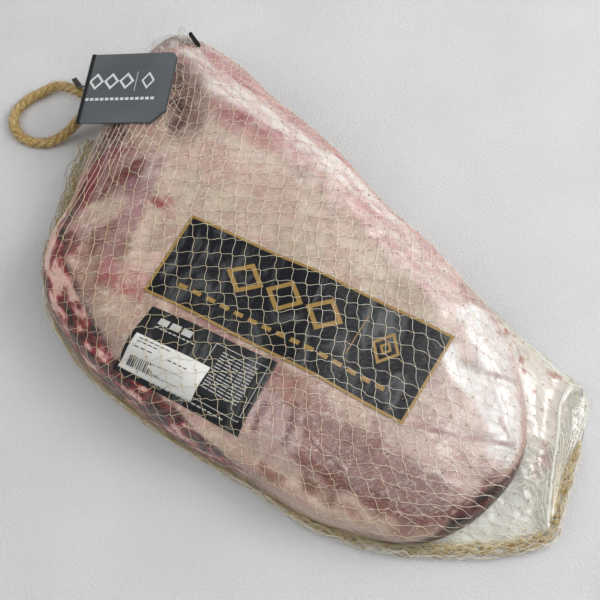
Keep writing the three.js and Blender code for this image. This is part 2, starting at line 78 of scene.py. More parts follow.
# path, half width, height
RELIEF = [
    ([(-158, -113), (-120, -122), (-78, -122), (-13, -113), (62, -101), (128, -84)], 8, -7),
    ([(-150, -98), (-75, -103), (-10, -95), (60, -84), (120, -68)], 13, 3),
    ([(-190, 96), (-120, 103), (-60, 103), (0, 92), (80, 84)], 14, 4),
    ([(-212, 78), (-182, 58)], 20, -9),
    ([(-184, -22), (-176, -46)], 17, -5),
    ([(110, 88), (160, 74), (186, 52)], 16, 5),
    ([(128, 62), (150, 76), (164, 92)], 6, -4),
]
TAIL_DEGREES = [-22, -10, 0, 4.5, 10, 16, 29, 32.5, 35, 42, 48, 56]
TAIL_RADIUS = [196, 230, 261, 273, 268, 263, 260, 250, 232, 200, 183, 160]
TAIL_EDGE = 3.5
TAIL_WALL_SHARE = 0.62
TAIL_TUCK = 8.0
TAIL_FALL_POWER = 1.35
TAIL_FOLDS = 17
TAIL_FOLD_HEIGHT = 2.2
TAIL_FOLD_LEAN = 2.4
TAIL_ROLL = [(190, 124), (194, 106), (206, 89), (224, 62), (246, 31), (256, 22)]
TAIL_ROLL_WIDTH = 7.0
TAIL_ROLL_HEIGHT = 7.0
TAIL_CORNER = (251.0, 21.0)
NEAR_FOLD = {
    "degrees": [177.5, 185, 192, 199, 206, 213, 235, 262, 277, 291, 309, 326],
    "out": [12, 11, 9, 7, 4, 1.5, 0.5, 0, -1, -1, 0.5, 0],
    "half": [12, 12, 11, 10, 8, 5, 3.5, 3, 2.6, 2.6, 4, 3.5],
    "high": [9, 9, 8, 7, 6, 5, 4.5, 4, 4, 4, 4.5, 4],
}
FAR_FOLD = {
    "degrees": [59, 80, 100, 130, 144],
    "out": [1, 1, 1, 1, 2],
    "half": [4, 4.5, 4.5, 5, 4],
    "high": [3, 3.5, 3.5, 4, 3],
}
HEM = {
    "degrees": [-39, -26, -16, -6, 4.5, 10, 16, 22],
    "out": [1, 2, 2, 2, 3, 2, 1.5, 0],
    "half": [4.5, 5.5, 6.5, 7, 7, 6, 5, 3.5],
    "high": [4, 5, 6, 6.5, 6.5, 6, 5, 3],
}
HEM_JOINS_TAIL = -20
NECK_PATH = [(-228, 52, 36), (-244, 45, 34.5), (-254, 38, 32), (-261.5, 33.5, 30)]
NECK_HALF = [17, 15, 12, 9.5]
NECK_HIGH = [12, 10, 8.5, 7.5]
ROPE_ROUTE = np.array([
    (-263.3, 33, 29), (-275.3, 31.1, 28), (-288.7, 29.1, 24.5), (-302.3, 27.6, 18), (-311.7, 24.8, 12),
    (-317.8, 19.3, 7.5), (-322, 10.2, 4.6), (-324.1, -0.2, 3.9), (-323.4, -10.5, 3.9), (-319.6, -19.6, 3.9),
    (-311.7, -26.3, 3.9), (-302.5, -28.7, 3.9), (-292.2, -27.2, 3.9), (-283.4, -21.9, 4), (-276.8, -14.6, 4.8),
    (-272.5, -5.3, 7.5), (-270, 3.1, 12), (-268, 11.4, 18.5), (-265.5, 19.5, 25)])
ROPE_DIAMETER = 7.5
CORNER_PATH = [(-238, 112, 40), (-248, 120, 44), (-254, 124, 46.5), (-259, 128, 48)]
CORNER_HALF = [10, 9, 6, 2.5]
TAG_SPINE_FAR = np.array([-287.7, 52.9, 53.5])
TAG_SPINE_NEAR = np.array([-248.0, -1.7, 50.3])
TAG_FREE_FAR = np.array([-226.1, 96.4, 73.2])
TAG_LEAF = 0.5
TAG_OPEN = np.radians(1.6)
INFO_LABEL = np.array([(-71, -75), (28, -39), (45, -98), (-63, -127)], float)
PRICE_STICKER = np.array([(-64, -98), (-4, -78), (2, -105), (-61, -123)], float)
PRINTED_PANEL = np.array([(-107, 0), (106, 75), (126, -5), (-86, -71)], float)

# the film lies this far over the meat, and the other sheets over it
FILM_LIFT = 0.55
PANEL_LIFT = 0.85
MARK_RISE = 0.12
INFO_LIFT = 1.0
STICKER_LIFT = 2.1
NET_LIFT = 1.25

# Camera and light as in the photograph

CAMERA_AZIMUTH = np.radians(45.0)
CAMERA_ELEVATION = np.radians(64.0)
CAMERA_LENS = 85.0
CAMERA_DISTANCE = 1161.2
CAMERA_TARGET = np.array([-19.0, 32.0, 0.0])
# half the floor's side in metres
FLOOR_HALF = 6.0


def to_row(points):
    """Drawing-frame millimetres to row-frame metres."""
    return (np.asarray(points, float) + PART_SHIFT) * MM


def srgb(text):
    """An sRGB hex colour as linear red, green, blue and alpha."""
    values = np.array([int(text[k:k + 2], 16) for k in (1, 3, 5)]) / 255
    linear = np.where(values <= 0.04045, values / 12.92, ((values + 0.055) / 1.055) ** 2.4)
    return (*[float(v) for v in linear], 1.0)


# Numbers

def through_knots(x, xs, ys):
    """Cubic through knots, whose slope at each is the one between its two neighbours."""
    xs, ys = np.asarray(xs, float), np.asarray(ys, float)
    last = len(xs) - 1
    at = np.clip(x, xs[0], xs[-1])
    i = np.clip(np.searchsorted(xs, at, side="left") - 1, 0, last - 1)
    before = np.maximum(np.arange(last + 1) - 1, 0)
    after = np.minimum(np.arange(last + 1) + 1, last)
    slope = (ys[after] - ys[before]) / (xs[after] - xs[before])
    h = xs[i + 1] - xs[i]
    t = (at - xs[i]) / h
    return ((2 * t**3 - 3 * t**2 + 1) * ys[i] + (t**3 - 2 * t**2 + t) * h * slope[i]
            + (3 * t**2 - 2 * t**3) * ys[i + 1] + (t**3 - t**2) * h * slope[i + 1])


def distance_to_path(x, y, path):
    """Shortest distance in plan from points to a path of straight pieces."""
    best = np.full(np.shape(x), 1e9)
    for (x0, y0), (x1, y1) in zip(path[:-1], path[1:]):
        dx, dy = x1 - x0, y1 - y0
        t = np.clip(((x - x0) * dx + (y - y0) * dy) / (dx * dx + dy * dy), 0, 1)
        best = np.minimum(best, np.hypot(x - x0 - t * dx, y - y0 - t * dy))
    return best


def smooth_step(low, high, value):
    """0 below low, 1 above high and a smooth cubic between."""
    t = np.clip((value - low) / (high - low), 0, 1)
    return t * t * (3 - 2 * t)


def noise(x, y, seed=0):
    """Smooth value noise from 0 to 1: hashed numbers on a unit grid, joined by a cubic."""
    x0, y0 = np.floor(x), np.floor(y)
    tx, ty = x - x0, y - y0
    tx, ty = tx * tx * (3 - 2 * tx), ty * ty * (3 - 2 * ty)

    def corner(dx, dy):
        value = np.sin((x0 + dx) * 127.1 + (y0 + dy) * 311.7 + seed * 74.7) * 43758.5453
        return value - np.floor(value)

    low = corner(0, 0) * (1 - tx) + corner(1, 0) * tx
    high = corner(0, 1) * (1 - tx) + corner(1, 1) * tx
    return low * (1 - ty) + high * ty


def fractal(x, y, seed=0, octaves=4):
    """Noise of several sizes added up, each half the size and half the strength of the one before."""
    total, weight = 0.0, 0.0
    for k in range(octaves):
        share = 0.5**k
        total = total + share * noise(x * 2**k, y * 2**k, seed + 11 * k)
        weight += share
    return total / weight


def spread(path, count):
    """count points evenly along a smooth curve through a path."""
    path = np.asarray(path, float)
    knots = np.concatenate([[0], np.cumsum(np.linalg.norm(np.diff(path, axis=0), axis=1))])
    fine = np.linspace(0, knots[-1], 40 * len(path))
    curve = np.stack([through_knots(fine, knots, path[:, k]) for k in range(path.shape[1])], -1)
    run = np.concatenate([[0], np.cumsum(np.linalg.norm(np.diff(curve, axis=0), axis=1))])
    even = np.linspace(0, run[-1], count)
    return np.stack([np.interp(even, run, curve[:, k]) for k in range(path.shape[1])], -1)


# The meat's form

_polar = OUTLINE - CENTRE
_order = np.argsort(np.arctan2(_polar[:, 1], _polar[:, 0]))
_angles = np.arctan2(_polar[:, 1], _polar[:, 0])[_order]
_radii = np.hypot(_polar[:, 0], _polar[:, 1])[_order]
OUTLINE_ANGLES = np.concatenate([_angles - 2 * np.pi, _angles, _angles + 2 * np.pi])
OUTLINE_RADII = np.tile(_radii, 3)

_turn = np.linspace(0, np.pi / 2, 400)
PROFILE_OUT = np.sin(_turn) ** (2 / TOP_POWER)
PROFILE_UP = np.append(np.cos(_turn[:-1]) ** (2 / TOP_POWER), 0)
_steps = np.hypot(np.diff(PROFILE_OUT) * ROW_RADIUS, np.diff(PROFILE_UP) * ROW_RISE)
PROFILE_LENGTH = np.concatenate([[0], np.cumsum(_steps)]) / np.sum(_steps)


def outline_radius(angle):
    """Radius of the widest outline: a closed cubic through the outline's points in polar form."""
    wrapped = (np.asarray(angle) + np.pi) % (2 * np.pi) - np.pi
    return through_knots(wrapped, OUTLINE_ANGLES, OUTLINE_RADII)


def around(angle, radius):
    """Plan point at an angle and radius round the centre."""
    return CENTRE[0] + radius * np.cos(angle), CENTRE[1] + radius * np.sin(angle)


def crown(x):
    """Height of the top along the meat."""
    return through_knots(x, CROWN_X, CROWN_Z)


def rim_height(angle):
    """Height of the widest outline."""
    return RIM_SHARE * crown(CENTRE[0] + outline_radius(angle) * np.cos(angle))


def relief(x, y):
    """Two waves plus a bell-shaped ridge or groove along each path."""
    z = 1.6 * np.sin(x / 31 + 0.7) * np.sin(y / 27 + 1.1) + np.sin(x / 17 + y / 23)
    for path, width, height in RELIEF:
        z = z + height * np.exp(-(distance_to_path(x, y, path) / width) ** 2)
    return z


def lumps(x, y, z):
    """Low uneven lumps of fat, 6 to 30 mm across and up to 0.8 mm high."""
    a, b = x + 0.8 * z, y - 0.7 * z
    return 1.1 * (fractal(a / 26, b / 22, 3) - 0.5) + 0.5 * (fractal(a / 9, b / 7, 8, 3) - 0.5)


def top_surface(angle, out, up, grow):
    """Superellipse dome: plan radius is out times the outline's, height runs from the rim to the crown."""
    x, y = around(angle, (outline_radius(angle) + grow) * out)
    rim = rim_height(angle)
    fade = (1 - out**10) * np.minimum(1, 2 * up)
    z = rim + (crown(x) + grow - rim) * up + relief(x, y) * fade
    return x, y, z + lumps(x, y, z) * fade


def meat_height(x, y, grow=0.0):
    """Height of the dome over a plan point, or 0 outside it."""
    angle = np.arctan2(y - CENTRE[1], x - CENTRE[0])
    out = np.hypot(x - CENTRE[0], y - CENTRE[1]) / (outline_radius(angle) + grow)
    up = np.interp(out, PROFILE_OUT, PROFILE_UP)
    z = top_surface(angle, np.minimum(out, 1), up, grow)[2]
    return np.where(out <= 1, z, 0)


def tail_radius(degrees):
    """Outer edge of the film's free end."""
    return through_knots(degrees, TAIL_DEGREES, TAIL_RADIUS)


def tail_surface(degrees, v):
    """Film sheet that falls from the meat at v = 0 to its edge at v = 1, with leaning folds, creases and a
    raised roll."""
    first, last = TAIL_DEGREES[0], TAIL_DEGREES[-1]
    u = (last - degrees) / (last - first)
    angle = np.radians(degrees)
    inner = tail_root(degrees)
    radius = inner + (tail_radius(degrees) - inner) * v
    wall = TAIL_WALL_SHARE * crown(CENTRE[0] + inner) * (1 - 0.62 * bare_end(degrees))
    x, y = around(angle, radius)
    soft = TAIL_FOLD_HEIGHT * 0.3 * np.sin(TAIL_FOLDS * np.pi * u + TAIL_FOLD_LEAN * v) * np.sin(np.pi * v)
    roll = TAIL_ROLL_HEIGHT * np.exp(-(distance_to_path(x, y, TAIL_ROLL) / TAIL_ROLL_WIDTH) ** 2)
    fall = TAIL_EDGE + (wall - TAIL_EDGE) * np.clip(1 - v, 0, 1) ** TAIL_FALL_POWER
    return x, y, fall + soft + roll + creases(x, y) * np.sin(np.pi * np.clip(v, 0, 1)) ** 0.5


def bare_end(degrees):
    """1 where the meat's dark end shows beside the film's free end."""
    return smooth_step(-24, -17, degrees) * (1 - smooth_step(8, 20, degrees))


def tail_root(degrees):
    """Radius at which the film's free end leaves the meat."""
    return outline_radius(np.radians(degrees)) - TAIL_TUCK * (1 - 0.9 * bare_end(degrees))


def creases(x, y):
    """Film creases in mm: folded noise that fans out from the tail's tied corner, wide soft dents, and a
    sharp crumple where the film is pinched against the thin end."""
    dx, dy = x - TAIL_CORNER[0], y - TAIL_CORNER[1]
    reach = np.hypot(dx, dy)
    fan = 1 - np.abs(2 * noise(np.arctan2(dy, dx) * 3.2, reach / 90, 21) - 1)
    dents = noise(x / 19, y / 22, 25)
    small = 1 - np.abs(2 * noise(x / 11 + y / 17, y / 10 - x / 23, 22) - 1)
    pinch = np.exp(-((x - 219) ** 2 + (y - 46) ** 2) / 14**2)
    sharp = 1 - np.abs(2 * noise(x / 5.5 - y / 9, y / 6 + x / 14, 23) - 1)
    return (2.2 * (fan - 0.5) * smooth_step(0, 50, reach) + 3.4 * (dents - 0.5)
            + 1.1 * (small - 0.5) + 4.0 * (sharp - 0.4) * pinch)


def tail_height(x, y):
    """Height of the film's free end over a plan point, or 0 outside it."""
    angle = np.arctan2(y - CENTRE[1], x - CENTRE[0])
    degrees = np.degrees(angle)
    radius = np.hypot(x - CENTRE[0], y - CENTRE[1])
    inner = tail_root(degrees)
    v = (radius - inner) / (tail_radius(degrees) - inner)
    inside = (degrees > TAIL_DEGREES[0]) & (degrees < TAIL_DEGREES[-1]) & (v >= 0) & (v <= 1)
    return np.where(inside, tail_surface(degrees, np.clip(v, 0, 1))[2], 0)


def pack_radius(angle):
    """Outer edge of the whole pack: the meat's or the film's, whichever is further out."""
    degrees = np.degrees((np.asarray(angle) + np.pi) % (2 * np.pi) - np.pi)
    on_tail = (degrees > TAIL_DEGREES[0]) & (degrees < TAIL_DEGREES[-1])
    meat = outline_radius(angle)
    return np.where(on_tail, np.maximum(meat, tail_radius(degrees)), meat)


def pack_height(x, y):
    """Height of the meat or of the film's free end, whichever is higher."""
    return np.maximum(meat_height(x, y), tail_height(x, y))


# Mesh building

def opaque(colour):
    """Colours with an alpha of 1 added."""
    return np.concatenate([np.clip(colour, 0, 1), np.ones((len(colour), 1))], -1)


def one_colour(count, text):
    """The same hex colour for every point."""
    return np.tile(np.array(srgb(text)), (count, 1))


def new_piece(name, points, faces, material, node_slot, replaces=(), values=None, colours=None, uv=None):
    """A smooth mesh from drawing-frame points and lists of faces, riding on the root body."""
    mesh = bpy.data.meshes.new(name)
    mesh.from_pydata(to_row(points).tolist(), [], faces)
    mesh.shade_smooth()
    for key, data in (values or {}).items():
        layer = mesh.attributes.new(key, "FLOAT", "POINT")
        layer.data.foreach_set("value", np.asarray(data, np.float32).ravel())
    if colours is not None:
        layer = mesh.attributes.new("tint", "FLOAT_COLOR", "POINT")
        layer.data.foreach_set("color", np.asarray(colours, np.float32).ravel())
    if uv is not None:
        corner = np.empty(len(mesh.loops), np.int32)
        mesh.loops.foreach_get("vertex_index", corner)
        mesh.uv_layers.new(name="UVMap").data.foreach_set("uv", np.asarray(uv, np.float32)[corner].ravel())
    mesh.materials.append(material)
    piece = bpy.data.objects.new(name, mesh)
    bpy.context.scene.collection.objects.link(piece)
    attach(piece, "root")
    if replaces:
        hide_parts(*replaces)
    return piece


def grid_faces(rows, columns):
    """Quads of a grid of points, rows by columns."""
    i, j = np.meshgrid(np.arange(rows - 1), np.arange(columns - 1), indexing="ij")
    a = i * columns + j
    return np.stack([a, a + columns, a + columns + 1, a + 1], -1).reshape(-1, 4)


def tubes(centre, radius, sides=4):
    """Round tubes along many lines at once. centre is lines by samples by 3, and each sample gets a ring of
    points, at a radius, in the plane across the line. The ends are closed by a face."""
    centre = np.asarray(centre, float)
    lines, samples = centre.shape[:2]
    ahead = np.gradient(centre, axis=1)
    ahead /= np.maximum(np.linalg.norm(ahead, axis=-1, keepdims=True), 1e-9)
    side = np.cross(ahead, [0.11, 0.07, 1.0])
    side /= np.maximum(np.linalg.norm(side, axis=-1, keepdims=True), 1e-9)
    up = np.cross(side, ahead)
    turn = np.arange(sides) / sides * 2 * np.pi
    radius = np.broadcast_to(np.asarray(radius, float), (lines, samples))[..., None, None]
    ring = side[..., None, :] * np.cos(turn)[:, None] + up[..., None, :] * np.sin(turn)[:, None]
    points = centre[..., None, :] + ring * radius
    start = (np.arange(lines) * samples * sides)[:, None, None]
    k = (np.arange(samples - 1) * sides)[None, :, None]
    m = np.arange(sides)[None, None, :]
    after = (m + 1) % sides
    a, b = start + k + m, start + k + after
    quads = np.stack([a, a + sides, b + sides, b], -1).reshape(-1, 4).tolist()
    first = (start[:, 0] + np.arange(sides)).tolist()
    last = (start[:, 0] + (samples - 1) * sides + np.arange(sides)[::-1]).tolist()
    return points.reshape(-1, 3), quads + first + last


def join(parts):
    """Several pairs of points and faces as one."""
    points, faces, start = [], [], 0
    for some_points, some_faces in parts:
        points.append(some_points)
        faces += [[start + index for index in face] for face in some_faces]
        start += len(some_points)
    return np.concatenate(points), faces


# Materials

def add_node(tree, kind, inputs=(), stops=(), out=0, **settings):
    """Adds a node with its settings, and sets or links its inputs: a value is set, another node's output is
    linked. stops are a colour ramp's places and hex colours. Gives the output that out names."""
    node = tree.nodes.new("ShaderNode" + kind)
    for key, value in settings.items():
        setattr(node, key, value)
    for key, value in dict(inputs).items():
        if isinstance(value, bpy.types.NodeSocket):
            tree.links.new(value, node.inputs[key])
        else:
            node.inputs[key].default_value = value
    if stops:
        node.color_ramp.interpolation = "EASE"
        while len(node.color_ramp.elements) < len(stops):
            node.color_ramp.elements.new(0.5)
        for element, (position, colour) in zip(node.color_ramp.elements, stops):
            element.position = position
            element.color = srgb(colour)
    return node.outputs[out] if node.outputs else None


def new_material(name):
    """An empty node material, its tree and its Object coordinates."""
    material = bpy.data.materials.new(name)
    material.use_nodes = True
    tree = material.node_tree
    tree.nodes.clear()
    return material, tree, add_node(tree, "TexCoord", out="Object")


def mottle(tree, place, cells, detail=4.0, rough=0.5, swirl=0.0, stretch=None, turn=0.0, stops=()):
    """Noise pattern of so many cells per metre. With a stretch it is turned about Z and then scaled, and runs
    along the smallest scale. With stops it goes from the one's hex colour to the other's."""
    if stretch:
        inverse = tuple(1 / value for value in stretch)
        place = add_node(tree, "Mapping", {"Vector": place, "Scale": inverse, "Rotation": (0, 0, turn)},
                         vector_type="TEXTURE")
    pattern = add_node(tree, "TexNoise", {
        "Vector": place, "Scale": cells, "Detail": detail, "Roughness": rough, "Distortion": swirl})
    return add_node(tree, "ValToRGB", {"Fac": pattern}, stops) if stops else pattern


def between(low, high):
    """Stops from black at one value to white at another."""
    return [(low, "#000000"), (high, "#FFFFFF")]


def finish(tree, look, height, strength, depth):
    """Closes a material: the plain shader with a look and a relief from a pattern, its depth in metres."""
    relief_normal = add_node(tree, "Bump", {"Height": height, "Strength": strength, "Distance": depth})
    shader = add_node(tree, "BsdfPrincipled", {**look, "Normal": relief_normal})
    add_node(tree, "OutputMaterial", {"Surface": shader})


def raw_beef():
    """Raw marbled beef with its fat cap: waxy cream and pink fat that light sinks into, with blood-tinged
    mottling, cream flecks and fine fibres. The large fields come from the tint attribute, and the lean
    attribute makes the flecks sparse and the fibres dark on red meat."""
    material, tree, place = new_material("Raw beef, fat cap and lean")
    lean = add_node(tree, "Attribute", out="Fac", attribute_name="lean")
    tint = add_node(tree, "Attribute", attribute_name="tint")
    # pink blooms of 6 to 15 mm under the fat
    blooms = mottle(tree, place, 75, 9, 0.68, 1.6, stops=between(0.47, 0.66))
    share = add_node(tree, "Math", {0: blooms, 1: 0.28}, operation="MULTIPLY")
    colour = add_node(tree, "Mix", {0: share, 6: tint, 7: srgb("#C2958B")}, out=2, data_type="RGBA")
    # paler fat between them
    pale = mottle(tree, place, 120, 8, 0.7, 2.0, (1, 1.7, 1), 1.2, between(0.5, 0.66))
    share = add_node(tree, "Math", {0: lean, 1: -0.5, 2: 0.56}, operation="MULTIPLY_ADD")
    share = add_node(tree, "Math", {0: pale, 1: share}, operation="MULTIPLY")
    colour = add_node(tree, "Mix", {0: share, 6: colour, 7: srgb("#EEDFD4")}, out=2, data_type="RGBA")
    # hair-thin red veins and the edges of the blooms
    wander = mottle(tree, place, 62, 7, 0.62, 2.6, (1, 1.5, 1.3), 0.9)
    offset = add_node(tree, "Math", {0: wander, 1: 0.5}, operation="SUBTRACT")
    offset = add_node(tree, "Math", {0: offset}, operation="ABSOLUTE")
    vein = add_node(tree, "ValToRGB", {"Fac": offset}, [(0.0, "#FFFFFF"), (0.028, "#000000")])
    share = add_node(tree, "Math", {
        0: vein, 1: mottle(tree, place, 24, 3, stops=between(0.42, 0.6))}, operation="MULTIPLY")
    share = add_node(tree, "Math", {0: share, 1: 0.6}, operation="MULTIPLY")
    colour = add_node(tree, "Mix", {0: share, 6: colour, 7: srgb("#A8525A")}, out=2, data_type="RGBA")
    # muscle fibres about 1.5 mm wide that run across the pack
    fibres = mottle(tree, place, 2.0, 7, 0.66, 1.0, (420, 80, 300), 0.2)
    dark = add_node(tree, "ValToRGB", {"Fac": fibres}, between(0.5, 0.68))
    share = add_node(tree, "Math", {0: lean, 1: 0.5, 2: 0.16}, operation="MULTIPLY_ADD")
    share = add_node(tree, "Math", {0: dark, 1: share}, operation="MULTIPLY")
    colour = add_node(tree, "Mix", {0: share, 6: colour, 7: srgb("#6B2F33")}, out=2, data_type="RGBA")
    height = add_node(tree, "Math", {0: blooms, 1: 0.8, 2: fibres}, operation="MULTIPLY_ADD")
    finish(tree, {
        "Base Color": colour, "Roughness": 0.5, "Specular IOR Level": 0.25, "Subsurface Weight": 0.08,
        "Subsurface Radius": (0.003, 0.0012, 0.0008), "Subsurface Scale": 1.0}, height, 0.6, 0.0009)
    return material


def thin_film(name, haze, gloss_roughness, wrinkle_scale, wrinkle_depth, turn=0.0):
    """Clear barrier film, cast and heat-shrunk: seen straight through, with a sharp gloss on its wrinkles
    and a faint milky haze where it is creased. The haze attribute gives the creases and tint their colour;
    on the crumpled sheet's bends, the rolled edge and the flap's edge this milky white is partly a painted
    highlight."""
    material, tree, place = new_material(name)
    tint = add_node(tree, "Attribute", attribute_name="tint")
    long_wrinkles = mottle(tree, place, wrinkle_scale, 3, 0.5, 1.5, (1, 3.2, 1), turn)
    fine_wrinkles = mottle(tree, place, wrinkle_scale * 2.7, 2, 0.4, 1.0, (1, 2.0, 1), turn + 0.9)
    height = add_node(tree, "Math", {0: fine_wrinkles, 1: 0.12, 2: long_wrinkles}, operation="MULTIPLY_ADD")
    normal = add_node(tree, "Bump", {"Height": height, "Strength": 1.0, "Distance": wrinkle_depth})
    clear = add_node(tree, "BsdfTransparent", {"Color": (0.97, 0.97, 0.965, 1)})
    gloss = add_node(tree, "BsdfGlossy", {
        "Color": (1, 1, 1, 1), "Roughness": gloss_roughness, "Normal": normal})
    milky = add_node(tree, "BsdfDiffuse", {"Color": tint, "Normal": normal})
    through = add_node(tree, "BsdfTranslucent", {"Color": tint})
    cloudy = add_node(tree, "MixShader", {0: 0.35, 1: milky, 2: through})
    hazed = add_node(tree, "Attribute", out="Fac", attribute_name="haze")
    hazed = add_node(tree, "Math", {0: hazed, 1: haze}, operation="MULTIPLY", use_clamp=True)
    body = add_node(tree, "MixShader", {0: hazed, 1: clear, 2: cloudy})
    # both faces of the film reflect, and its haze hides the mirror at a low angle
    both = add_node(tree, "Fresnel", {"IOR": 1.5, "Normal": normal})
    both = add_node(tree, "Math", {0: both, 1: 1.15}, operation="MULTIPLY")
    both = add_node(tree, "Math", {0: both, 1: 0.13}, operation="MINIMUM")
    add_node(tree, "OutputMaterial", {"Surface": add_node(tree, "MixShader", {0: both, 1: body, 2: gloss})})
    return material


def printed_film(name, colour, roughness, painted_reflection):
    """Ink printed on film: deep flat colour under gloss, with grey smears painted into the colour as a painted
    reflection of the wrinkled film.
    """
    material, tree, place = new_material(name)
    # painted reflection: grey streaks mixed into the ink's colour, in place of the wrinkled film mirroring its
    # surroundings
    streak = mottle(tree, place, 17, 6, 0.55, 1.4, (2.6, 1, 1), 0.45, between(0.46, 0.74))
    share = add_node(tree, "Math", {0: streak, 1: painted_reflection}, operation="MULTIPLY")
    grey = add_node(tree, "Mix", {0: share, 6: srgb(colour), 7: srgb("#78797A")}, out=2, data_type="RGBA")
    wrinkle = mottle(tree, place, 70, 5, 0.55, 1.6, (1, 3.0, 1), 0.5)
    look = {"Base Color": grey, "Roughness": roughness, "Specular IOR Level": 0.32}
    finish(tree, look, wrinkle, 0.8, 0.0012)
    return material


def net_thread(name, stops):
    """Twisted monofilament netting: thin waxy thread that goes from cream to gold and brown by the shade
    attribute of each strand."""
    material, tree, place = new_material(name)
    uneven = mottle(tree, place, 300, 3)
    shade = add_node(tree, "Attribute", out="Fac", attribute_name="shade")
    shade = add_node(tree, "Math", {0: uneven, 1: 0.25, 2: shade}, operation="MULTIPLY_ADD")
    shade = add_node(tree, "Math", {0: shade, 1: 0.12}, operation="SUBTRACT", use_clamp=True)
    colour = add_node(tree, "ValToRGB", {"Fac": shade}, stops)
    finish(tree, {"Base Color": colour, "Roughness": 0.45, "Sheen Weight": 0.15}, uneven, 0.3, 0.0002)
    return material


def jute(name):
    """Jute rope, spun and laid: dull golden fibres about 0.4 mm wide along each strand, darker in the lay."""
    material, tree, place = new_material(name)
    uv = add_node(tree, "TexCoord", out="UV")
    fibres = mottle(tree, uv, 1.0, 6, 0.7, 0.8, (34, 7, 1), 0.35)
    gold = add_node(tree, "ValToRGB", {"Fac": fibres}, [
        (0.38, "#664E22"), (0.47, "#A88746"), (0.54, "#D4B676"), (0.63, "#F6E8C4")])
    patches = mottle(tree, place, 160, 3, stops=[(0.3, "#85795A"), (0.7, "#E8DFC8")])
    colour = add_node(tree, "Mix", {0: 0.35, 6: gold, 7: patches}, out=2, data_type="RGBA",
                      blend_type="SOFT_LIGHT")
    finish(tree, {"Base Color": colour, "Roughness": 0.85, "Sheen Weight": 0.3}, fibres, 0.9, 0.0006)
    return material


def even_finish(name, colour, roughness, share, pattern, dark, light, relief_pattern, strength, depth,
                blend_type="MULTIPLY", specular=0.5):
    """One colour whose tone shifts a little by a pattern between two greys, with its own fine relief. Each
    pattern gives cells per metre, detail and further values as mottle takes them."""
    material, tree, place = new_material(name)
    grey = mottle(tree, place, *pattern, stops=[(0.3, dark), (0.7, light)])
    tone = add_node(tree, "Mix", {0: share, 6: colour, 7: grey}, out=2, data_type="RGBA",
                    blend_type=blend_type)
    finish(tree, {"Base Color": tone, "Roughness": roughness, "Specular IOR Level": specular},
           mottle(tree, place, *relief_pattern), strength, depth)
    return material


def plain_ink(name, colour, roughness):
    """Opaque ink: one colour, slightly uneven, with a soft sheen."""
    grain = (420, 3)
    return even_finish(name, srgb(colour), roughness, 0.12, grain, "#4A4A4A", "#FFFFFF", grain, 0.25, 0.0002)


def coated_card(name, colour, roughness):
    """Coated card: flat matt colour with a faint fibre and a slow change of tone."""
    fibre = (900, 3, 0.5, 0.0, (1, 1.6, 1))
    return even_finish(name, srgb(colour), roughness, 0.22, (14, 2), "#5A5A5A", "#E8E8E8", fibre, 0.25, 0.0001,
                       "SOFT_LIGHT")


def moulded_plastic(name, colour, roughness):
    """Moulded polypropylene: smooth black with a light orange-peel skin."""
    peel = (700, 2)
    return even_finish(name, srgb(colour), roughness, 0.2, peel, "#555555", "#FFFFFF", peel, 0.2, 0.0001)


def floor_paper(name, colour):
    """Matt paper board under the pack: a soft tooth of about 2 mm and a slow change of tone."""
    tooth = (520, 4, 0.7, 0.0, (0.7, 1, 1), -0.35)
    return even_finish(name, colour, 0.9, 0.16, (9, 2), "#8C8C8C", "#E0E0E0", tooth, 0.8, 0.0019,
                       "SOFT_LIGHT", 0.2)


# What a user would change

class BrisketMeatSettings(PropertyGroup):
    fat: FloatVectorProperty(
        name="Fat", description="Colour of the fat cap", subtype="COLOR", size=4, default=srgb("#AC978A"))
    lean: FloatVectorProperty(
        name="Lean", description="Colour of bare lean meat", subtype="COLOR", size=4, default=srgb("#5E2228"))
    rows: IntProperty(name="Rows", description="Rows of points across the top", default=210, min=40, max=240)


class BrisketNetSettings(PropertyGroup):
    around_count: IntProperty(
        name="Cells around", description="Net cells once around the pack", default=40, min=8, max=80)
    pitch: FloatProperty(
        name="Pitch", description="Length of a cell along the pack", default=16 * MM, unit="LENGTH")
    thread: FloatProperty(
        name="Thread", description="Diameter of the net's thread", default=0.34 * MM, unit="LENGTH")


class BrisketRopeSettings(PropertyGroup):
    diameter: FloatProperty(
        name="Diameter", description="Diameter of the rope", default=ROPE_DIAMETER * MM, unit="LENGTH")
    lay: FloatProperty(
        name="Lay", description="Length in which a strand turns once", default=24 * MM, unit="LENGTH")
    fuzz: IntProperty(name="Fuzz", description="Loose fibres on the rope", default=2600, min=0, max=4000)


class BrisketStageSettings(PropertyGroup):
    floor: FloatVectorProperty(
        name="Floor", description="Colour of the floor", subtype="COLOR", size=4, default=srgb("#D3D3D4"))
    light_power: FloatProperty(
        name="Light power", description="Watts that each light takes its own part of", default=22.5, min=0)


# Operators

